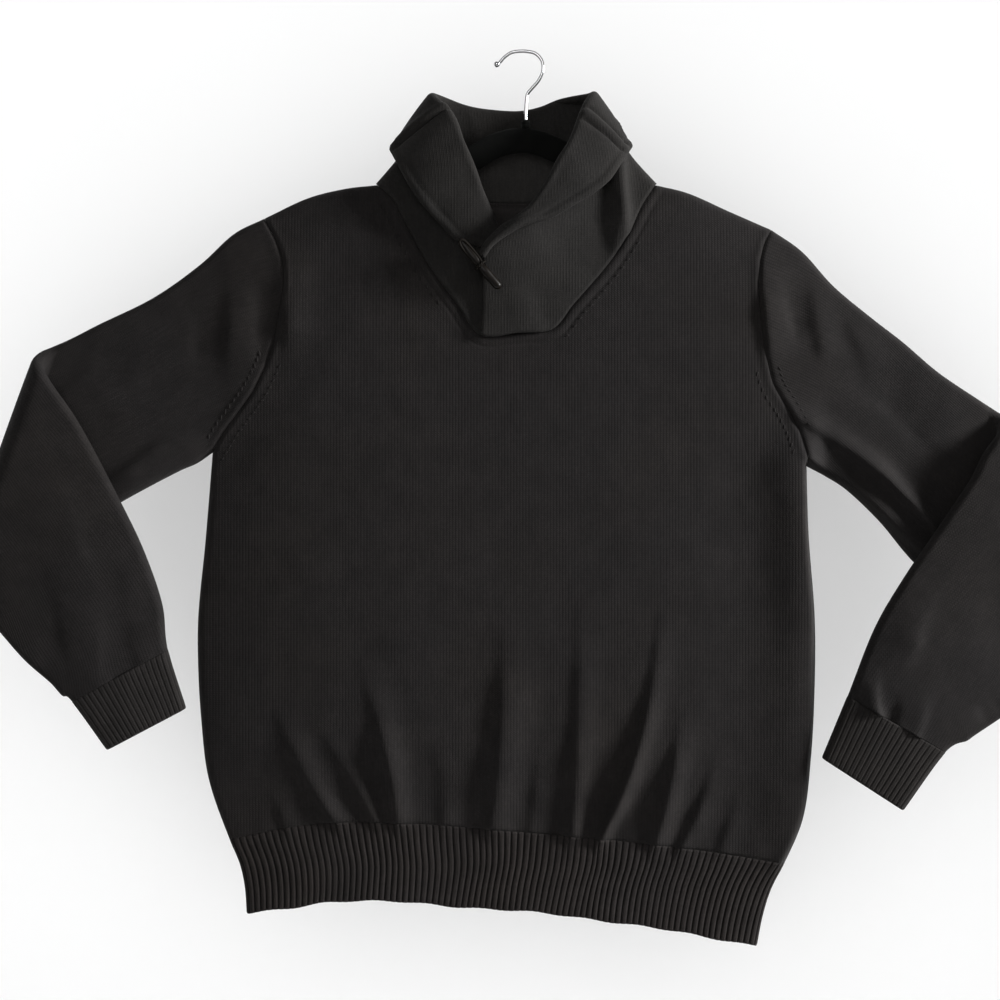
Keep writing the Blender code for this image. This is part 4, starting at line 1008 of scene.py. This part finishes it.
def hook(finish):
    """The wire hook, from the ferrule round to its ball tip."""
    path = along(HOOK_PATH, 220)
    path = np.insert(path, 1, 0, axis=1)
    from_ball = np.linalg.norm(path - path[-1], axis=1) - BALL_RADIUS
    ball = np.sqrt(np.maximum(BALL_RADIUS ** 2 - from_ball ** 2, 0.02))
    radii = np.where(from_ball < 0, ball, np.maximum(WIRE_RADIUS, ball))
    return add_piece("hook_wire", *ring_bar(path, radii, 20), finish, None, ["hanger_hook"], "chrome")


def ferrule(finish):
    """The short collar that the hook turns in: a turned profile with rounded ends and a groove."""
    height, radii = np.transpose(FERRULE_PROFILE)
    path = points_of(FERRULE_X, 0, FERRULE_BOTTOM + height)
    bar = ring_bar(path, radii, 28)
    return add_piece("hook_ferrule", *bar, finish, None, ["hanger_ferrule"], "velvet")


def toggle_line(t):
    """Middle line of the toggle: straight between its ends, bowed out by a parabola."""
    a, b = np.array(TOGGLE_ENDS, float)
    path = a + (b - a) * np.reshape(t, (-1, 1))
    path[:, 1] -= TOGGLE_BOW * 4 * t * (1 - t)
    path[:, 2] -= TOGGLE_SAG * np.sin(math.pi * t)
    return path


def toggle(finish):
    """A horn toggle: blunt ends, a waist where the cord holds it, slightly uneven."""
    t = 0.5 - 0.5 * np.cos(np.linspace(0.02, math.pi - 0.02, 90))
    radii = TOGGLE_RADIUS * (1 - 0.14 * (2 * t - 1) ** 2) * (1 - 0.16 * bump_of(t - 0.5, 0.07))
    radii = radii * (1 + 0.03 * np.sin(9 * t + 1) + 0.02 * np.sin(23 * t) + 0.06 * t)
    radii = np.maximum(radii * quarter_round(np.minimum(t, 1 - t) / 0.07), 0.15)
    bar = ring_bar(toggle_line(t), radii, 24)
    return add_piece("toggle_horn", *bar, finish, None, ["toggle"], "horn")


def toggle_cord(finish):
    """Cord: a two-strand ring round the toggle's waist, and a long flat loop over its upper half."""
    a, b = np.array(TOGGLE_ENDS, float)
    axis = unit(b - a)
    u = unit(np.cross(axis, (0, 1, 0)))
    v = np.cross(axis, u)
    middle = toggle_line(0.5)[0] + (0, LOOP_DROP, 0)
    reach = TOGGLE_RADIUS + LOOP_SLACK + LOOP_WIRE
    turn = full_turn(72)[:, None]
    cos, sin = np.cos(turn), np.sin(turn)
    parts = []
    for start in (0, math.pi):
        twist = 9 * turn + start
        out = reach + STRAND_TWIST * np.cos(twist)
        ring = middle + out * cos * u + (out + LOOP_DROP) * sin * v
        ring = ring + axis * STRAND_TWIST * np.sin(twist)
        parts.append(ring_bar(ring, np.full(len(turn), STRAND_RADIUS), 8, across=axis, closed=True))
    centre = toggle_line(LOOP_PLACE)[0] - (0, TOGGLE_RADIUS - 0.6, 0)
    oval = centre + axis * LOOP_LENGTH / 2 * np.sign(cos) * np.abs(cos) ** 0.7
    oval = oval + u * LOOP_WIDTH / 2 * np.sign(sin) * np.abs(sin) ** 0.7
    oval[:, 1] += 1.6 * sin[:, 0] ** 2
    parts.append(ring_bar(oval, np.full(len(turn), LOOP_CORD), 10, closed=True))
    return add_piece("toggle_cord_loop", *joined(parts), finish, None, ["toggle_loop"], "cord")


# ---- fashioning marks
def mark_shape():
    """A small raised stitch: half an ellipsoid as rings of eight points, long axis first."""
    rise = np.array([[0.02], [0.5], [0.87], [0.995]]) * math.pi / 2
    turn = full_turn(8)
    points = points_of(np.cos(rise) * np.cos(turn), np.cos(rise) * np.sin(turn), np.sin(rise))
    return points.reshape(-1, 3), closed_bar(numbered(*points.shape[:2]))


def marks(name, places, facing, tilt, height_at, finish):
    """Rows of raised stitches lying on the cloth at places, x z, each tilted by its own angle."""
    shape, faces = mark_shape()
    x, z = np.transpose(places)
    y = height_at(x, z)
    slope_x = (height_at(x + 1, z) - height_at(x - 1, z)) / 2
    slope_z = (height_at(x, z + 1) - height_at(x, z - 1)) / 2
    centre = points_of(x, facing * y, z)
    out = unit(points_of(-slope_x, facing, -slope_z))
    aim = points_of(np.sin(tilt), 0, np.cos(tilt))
    aim = unit(aim - out * np.sum(aim * out, axis=-1, keepdims=True))
    length, width, height = MARK_SIZE
    a, b, c = shape.T[:, None, :, None]
    points = (centre[:, None] + a * length * aim[:, None] + b * width * np.cross(out, aim)[:, None]
              + (c * height - MARK_SUNK) * out[:, None])
    faces = (faces[None] + np.arange(len(x))[:, None, None] * len(shape)).reshape(-1, 4)
    return add_piece(name, points, faces, finish, None, (), "knit")


def beside(line, offset, first, last, gap):
    """Points at even steps beside a line, offset to its left, and the line's own angle there."""
    dense = along(line, 400)
    run = unit(np.gradient(dense, axis=0))
    moved = dense + offset * points_of(-run[:, 1], run[:, 0])
    at = np.arange(first, last, gap)
    angle = np.unwrap(np.arctan2(run[:, 0], run[:, 1]))
    return read(at, lengths(dense), moved), np.interp(at, lengths(dense), angle)


def fashioning(finish):
    """Marks beside the armholes, on body and sleeves, and beside the collar's seam."""
    made = []
    for facing, folds, face in ((-1, FRONT_ALL, "front"), (1, BACK_FOLDS, "back")):
        def height_at(x, z, folds=folds):
            return depth(x, z, folds)
        rows = [beside(ARMHOLE["left"], 12, 145, 250, MARK_GAP),
                beside(ARMHOLE["right"], -12, 140, 228, MARK_GAP)]
        if facing < 0:
            rows += [beside(NECK_FRONT[8:], -13, 40, 150, 9), beside(NECK_FRONT[:8], -13, 20, 130, 9)]
        spots, tilt = (np.concatenate(part) for part in zip(*rows))
        made.append(marks(f"marks_{face}", spots, facing, tilt + MARK_TILT, height_at, finish))
    for side, offset in (("left", -10), ("right", 10)):
        def sleeve_height(x, z, side=side):
            return depth(x, z, ARM_FOLDS[side] + SEAM_FOLDS[side], "sleeve")
        spots, tilt = beside(ARMHOLE[side], offset, 140, 240, MARK_GAP)
        made.append(marks(f"marks_sleeve_{side}", spots, -1, tilt - MARK_TILT, sleeve_height, finish))
    return made


# ---- materials
class Finish:
    """Small helper that lays out one material's nodes."""

    def __init__(self, name):
        self.material = bpy.data.materials.new(name)
        self.material.use_nodes = True
        self.tree = self.material.node_tree
        self.surface = self.tree.nodes["Principled BSDF"]

    def set(self, sockets):
        """Give sockets of the surface a value, or join a node's output to them."""
        self.fill(self.surface, sockets)

    def fill(self, node, sockets):
        for place, value in sockets.items():
            if isinstance(value, bpy.types.NodeSocket):
                self.tree.links.new(value, node.inputs[place])
            else:
                node.inputs[place].default_value = value

    def node(self, kind, inputs=None, output=0, **settings):
        """Add a node, set its properties, fill its inputs with numbers or outputs; its output."""
        made = self.tree.nodes.new(kind)
        for key, value in settings.items():
            setattr(made, key, value)
        self.fill(made, inputs or {})
        return made.outputs[output]

    def body(self):
        """Place on the object itself."""
        return self.node("ShaderNodeTexCoord", output=3)

    def math(self, operation, a, b=0.0, c=0.0):
        return self.node("ShaderNodeMath", {0: a, 1: b, 2: c}, operation=operation)

    def times(self, first, *others):
        for other in others:
            first = self.math("MULTIPLY", first, other)
        return first

    def sine(self, u, pitch, turns):
        """A sine along u, with so many radians to a pitch in millimetres."""
        return self.math("SINE", self.times(self.math("DIVIDE", u, pitch * MM), turns))

    def noise(self, where, scale, detail=3.0, rough=0.5):
        return self.node("ShaderNodeTexNoise", {"Vector": where, "Scale": scale, "Detail": detail,
                                                "Roughness": rough})

    def ramp(self, value, low, high, low_out=0.0, high_out=1.0):
        return self.node("ShaderNodeMapRange", {"Value": value, "From Min": low, "From Max": high,
                                                "To Min": low_out, "To Max": high_out})

    def vary(self, value, amount, low=0.3, high=0.7):
        """Turn a noise into a factor that varies about one by an amount."""
        return self.ramp(value, low, high, 1 - amount, 1 + amount)

    def mix(self, factor, a, b, how="MIX"):
        """Mix two colours, given as three numbers or as outputs."""
        a, b = ((*colour, 1) if isinstance(colour, tuple) else colour for colour in (a, b))
        return self.node("ShaderNodeMix", {0: factor, 6: a, 7: b}, output=2, data_type="RGBA",
                         blend_type=how)

    def relief(self, height, strength, reach, below=None):
        inputs = {"Height": height, "Strength": strength, "Distance": reach}
        if below is not None:
            inputs["Normal"] = below
        return self.node("ShaderNodeBump", inputs)


def stitches(finish, u, v, wale):
    """Height of plain knit: each wale is a ridge of two slanting legs, repeated every course."""
    across = finish.math("FRACT", finish.math("DIVIDE", u, wale * MM))
    from_middle = finish.math("ABSOLUTE", finish.math("SUBTRACT", across, 0.5))
    ridge = finish.math("POWER", finish.math("SINE", finish.times(across, math.pi)), 0.6)
    climb = finish.math("ADD", finish.math("DIVIDE", v, COURSE * MM), finish.times(from_middle, 1.5))
    leg = finish.math("SINE", finish.times(climb, 2 * math.pi))
    return finish.times(ridge, finish.math("MULTIPLY_ADD", leg, 0.28, 0.72))


def knit(name, colour, tint, wale=WALE, rib=0.0, groove_shade=0.0, streaks=1.0):
    """Dark cotton knit: stitches, uneven yarn, faint streaks down the wales and slow tints, with shade
    painted into the hollows between the stitches.

    rib is the pitch of a fine rib drawn in the surface, and the next argument is the strength of the
    shade painted into the grooves between modelled ribs; either may be none.
    """
    finish = Finish(name)
    place = finish.node("ShaderNodeUVMap", uv_map="cloth")
    body = finish.body()
    u, v = (finish.node("ShaderNodeSeparateXYZ", {0: place}, output=axis) for axis in (0, 1))
    height = stitches(finish, u, v, wale)
    along_wale = finish.node("ShaderNodeMapping", {"Vector": place, "Scale": (420, 34, 1)})
    streak = finish.noise(along_wale, 1.0, 4.0, 0.6)
    yarn = finish.noise(place, 900, 4.0, 0.7)
    worn = finish.noise(body, 45, 4.0, 0.6)
    mottle = finish.noise(place, 320, 3.0, 0.6)
    # Painted shade: the stitch-height factor darkens the colour in the hollows between the stitch legs
    # and lightens it a little on their tops. Streak, yarn, mottle and worn are random tone.
    shade = finish.times(finish.vary(streak, STREAK * streaks), finish.vary(yarn, YARN),
                         finish.ramp(height, 0.1, 1.0, 0.84, 1.06), finish.vary(mottle, MOTTLE),
                         finish.vary(worn, WORN, 0.35, 0.65))
    # Painted shade: the colour darkens in the grooves between the modelled ribs and lightens a little on
    # their ridges.
    if groove_shade:
        wave = finish.math("ABSOLUTE", finish.sine(u, RIB_PITCH, math.pi))
        shade = finish.times(shade, finish.ramp(wave, 0.05, 0.75, 1 - groove_shade, 1.08))
    slow = finish.ramp(finish.noise(body, 7.0, 3.0, 0.55), 0.4, 0.7, 0.0, 0.45)
    grey = finish.node("ShaderNodeCombineColor", {0: shade, 1: shade, 2: shade})
    if rib:
        height = finish.math("MULTIPLY_ADD", finish.sine(u, rib, 2 * math.pi), 0.3, height)
    fuzz = finish.relief(finish.noise(place, 2400, 2.0, 0.6), 0.25, 0.0003)
    finish.set({"Base Color": finish.mix(1.0, finish.mix(slow, colour, tint), grey, "MULTIPLY"),
                "Normal": finish.relief(height, 0.4, 0.0006, fuzz),
                "Roughness": finish.ramp(yarn, 0.2, 0.8, 0.78, 0.95), "Specular IOR Level": 0.15,
                "Sheen Weight": 0.03, "Sheen Roughness": 0.5, "Sheen Tint": (0.9, 0.88, 0.86, 1)})
    return finish.material


def velvet():
    """Black flocking: soft sheen over a fine uneven pile."""
    finish = Finish("flocking")
    place = finish.body()
    patches = finish.ramp(finish.noise(place, 60), 0.35, 0.65)
    finish.set({"Base Color": finish.mix(patches, (0.0022, 0.0024, 0.0022), (0.0038, 0.0040, 0.0036)),
                "Normal": finish.relief(finish.noise(place, 1500, 3.0, 0.6), 0.5, 0.0003),
                "Roughness": 0.95, "Specular IOR Level": 0.1, "Sheen Weight": 0.05})
    return finish.material


def chrome():
    """Bright wire with faint drawing lines and small smudges."""
    finish = Finish("bright_wire")
    place = finish.body()
    finish.set({"Roughness": finish.ramp(finish.noise(place, 220), 0.35, 0.7, 0.08, 0.2),
                "Normal": finish.relief(finish.noise(place, 1400, 2.0), 0.05, 0.0001),
                "Base Color": (0.62, 0.62, 0.63, 1), "Metallic": 1.0})
    return finish.material


def horn():
    """Polished brown horn: long dark grain between lighter streaks, palest at the tips."""
    finish = Finish("horn")
    a, b = np.array(TOGGLE_ENDS, float) * MM
    middle = tuple(-(a + b) / 2)
    centred = finish.node("ShaderNodeMapping", {"Vector": finish.body(), "Location": middle})
    turned = finish.node("ShaderNodeMapping", {"Vector": centred, "Rotation": (0, -TOGGLE_LEAN, 0)})
    stretched = finish.node("ShaderNodeMapping", {"Vector": turned, "Scale": (900, 900, 90)})
    grain = finish.noise(stretched, 1.0, 5.0, 0.6)
    along_bar = finish.node("ShaderNodeSeparateXYZ", {0: turned}, output=2)
    half = float(np.linalg.norm(b - a)) / 2
    tip = finish.ramp(finish.math("ABSOLUTE", along_bar), 0.55 * half, half, 0.0, 0.6)
    lighter = finish.ramp(grain, 0.35, 0.65)
    brown = finish.mix(lighter, (0.0018, 0.0012, 0.0009), (0.0060, 0.0042, 0.0026))
    finish.set({"Base Color": finish.mix(tip, brown, (0.014, 0.0095, 0.006)),
                "Normal": finish.relief(grain, 0.12, 0.0003), "Roughness": 0.4,
                "Specular IOR Level": 0.15, "Coat Weight": 0.03, "Coat Roughness": 0.2})
    return finish.material


def cord_finish():
    """Dark waxed cord with a fine twist."""
    finish = Finish("waxed_cord")
    fibre = finish.noise(finish.body(), 1800, 3.0, 0.6)
    lit = finish.ramp(fibre, 0.3, 0.7)
    finish.set({"Base Color": finish.mix(lit, (0.0025, 0.0019, 0.0014), (0.0070, 0.0053, 0.0036)),
                "Normal": finish.relief(fibre, 0.4, 0.0002), "Roughness": 0.7,
                "Specular IOR Level": 0.1})
    return finish.material


# ---- stage
def stage():
    """A pale sweep behind and below the garment: a wall, a quarter round and a floor.

    Its paper is clear when seen from behind.
    """
    wall_y, floor_z, radius, half = 0.165, -1.45, 0.35, 3.0
    turn = np.linspace(0, math.pi / 2, 24)
    y = np.concatenate([[wall_y], wall_y - radius + radius * np.cos(turn), [-1.2]])
    z = np.concatenate([[2.6], floor_z + radius - radius * np.sin(turn), [floor_z]])
    points = np.concatenate([points_of(side, y, z) for side in (-half, half)])
    mesh = bpy.data.meshes.new("sweep")
    mesh.from_pydata(points.tolist(), [], grid_faces(numbered(2, len(y))).tolist())
    mesh.shade_smooth()
    finish = Finish("pale_paper")
    behind = finish.node("ShaderNodeNewGeometry", output=6)
    finish.set({"Roughness": finish.ramp(finish.noise(finish.body(), 40), 0.3, 0.7, 0.85, 0.95),
                "Base Color": (0.93, 0.93, 0.93, 1), "Specular IOR Level": 0.1,
                "Alpha": finish.math("SUBTRACT", 1.0, behind)})
    mesh.materials.append(finish.material)
    sweep = put("sweep", mesh)
    return sweep


def soft_light(name, place, aim, size, power, lit, shading=()):
    """A rectangular soft light on the objects in lit alone; only those in shading, if any, cast shade."""
    lamp = bpy.data.lights.new(name, "AREA")
    lamp.shape = "RECTANGLE"
    lamp.size, lamp.size_y = size
    lamp.energy = power
    light = put(name, lamp)
    light.location = place
    way = np.array(aim, float) - place
    tip_over = math.acos(-way[2] / np.linalg.norm(way))
    light.rotation_euler = (tip_over, 0, math.atan2(way[1], way[0]) - math.pi / 2)
    for use, things in (("receiver", lit), ("blocker", shading)):
        if things:
            linked = bpy.data.collections.new(f"{name}_{use}")
            for thing in things:
                linked.objects.link(thing)
            setattr(light.light_linking, f"{use}_collection", linked)


def camera_and_light(sweep):
    """Low light from the right across the cloth, a soft frontal light on the paper, and pale air."""
    scene = bpy.context.scene
    scene.world = bpy.data.worlds.new("studio")
    scene.world.use_nodes = True
    air = scene.world.node_tree.nodes["Background"]
    air.inputs[0].default_value = (1, 1, 1, 1)
    air.inputs[1].default_value = AIR
    garment = [thing for thing in scene.objects if thing.type == "MESH" and thing is not sweep]
    inside_neck = [bpy.data.objects[name] for name in ("back_panel_knit", "shawl_collar_rib")]
    paper = (0, -2.4, -0.4), (0, 0, -0.43), (5, 5)
    soft_light("across", (3.83, -1.0, 0.57), (-0.02, 0, -0.43), (0.65, 1.1), 375, garment)
    soft_light("front", (-0.4, -2.6, 0.3), (0, 0, -0.4), (1.4, 1.4), 17, garment)
    soft_light("neck", (-0.005, -0.014, -0.12), (-0.005, 0.02, -0.125), (0.08, 0.05), 0.008, inside_neck)
    soft_light("paper", *paper, 34, [sweep])
    soft_light("paper_fill", *paper, 95, [sweep], [sweep])
    lens = bpy.data.cameras.new("camera")
    lens.lens = 63.75
    lens.sensor_width = 36
    camera = put("camera", lens)
    camera.location = (-0.0182, -1.7, -0.4291)
    camera.rotation_euler = (math.pi / 2, 0, 0)
    scene.camera = camera
    scene.view_settings.view_transform = "Standard"
    scene.view_settings.look = "None"


# ---- assembly
def main():
    """Make every piece."""
    jersey = knit("jersey", (0.0122, 0.0108, 0.0107), (0.0140, 0.0117, 0.0103))
    ribbing = knit("ribbing", (0.0150, 0.0128, 0.0124), (0.0165, 0.0130, 0.0112), wale=RIB_PITCH / 2,
                   groove_shade=0.65, streaks=0.6)
    cuff_ribbing = knit("cuff_ribbing", (0.0140, 0.0124, 0.0118), (0.0160, 0.0130, 0.0112),
                        wale=RIB_PITCH / 2, groove_shade=0.15, streaks=0.6)
    collar_knit = knit("collar_rib", (0.0135, 0.0126, 0.0120), (0.0150, 0.0136, 0.0120),
                       wale=COLLAR_RIB / 2, rib=COLLAR_RIB, streaks=0.8)
    front, front_top = panel("front_panel", NECK_FRONT, -1, FRONT_ALL, jersey, ["front_panel"])
    back, back_top = panel("back_panel", NECK_BACK, 1, BACK_FOLDS, jersey,
                           ["back_yoke", "back_middle", "back_panel"])
    hems = [hem_face("hem_front", -1, ribbing), hem_face("hem_back", 1, ribbing)]
    sleeves = [sleeve(side, jersey) for side in SIDES]
    cuffs = [cuff(side, cuff_ribbing) for side in SIDES]
    band = collar(front_top, back_top, collar_knit)
    flocking = velvet()
    hanger(flocking)
    hook(chrome())
    ferrule(flocking)
    toggle(horn())
    toggle_cord(cord_finish())
    stitch_marks = fashioning(jersey)


main()
camera_and_light(stage())
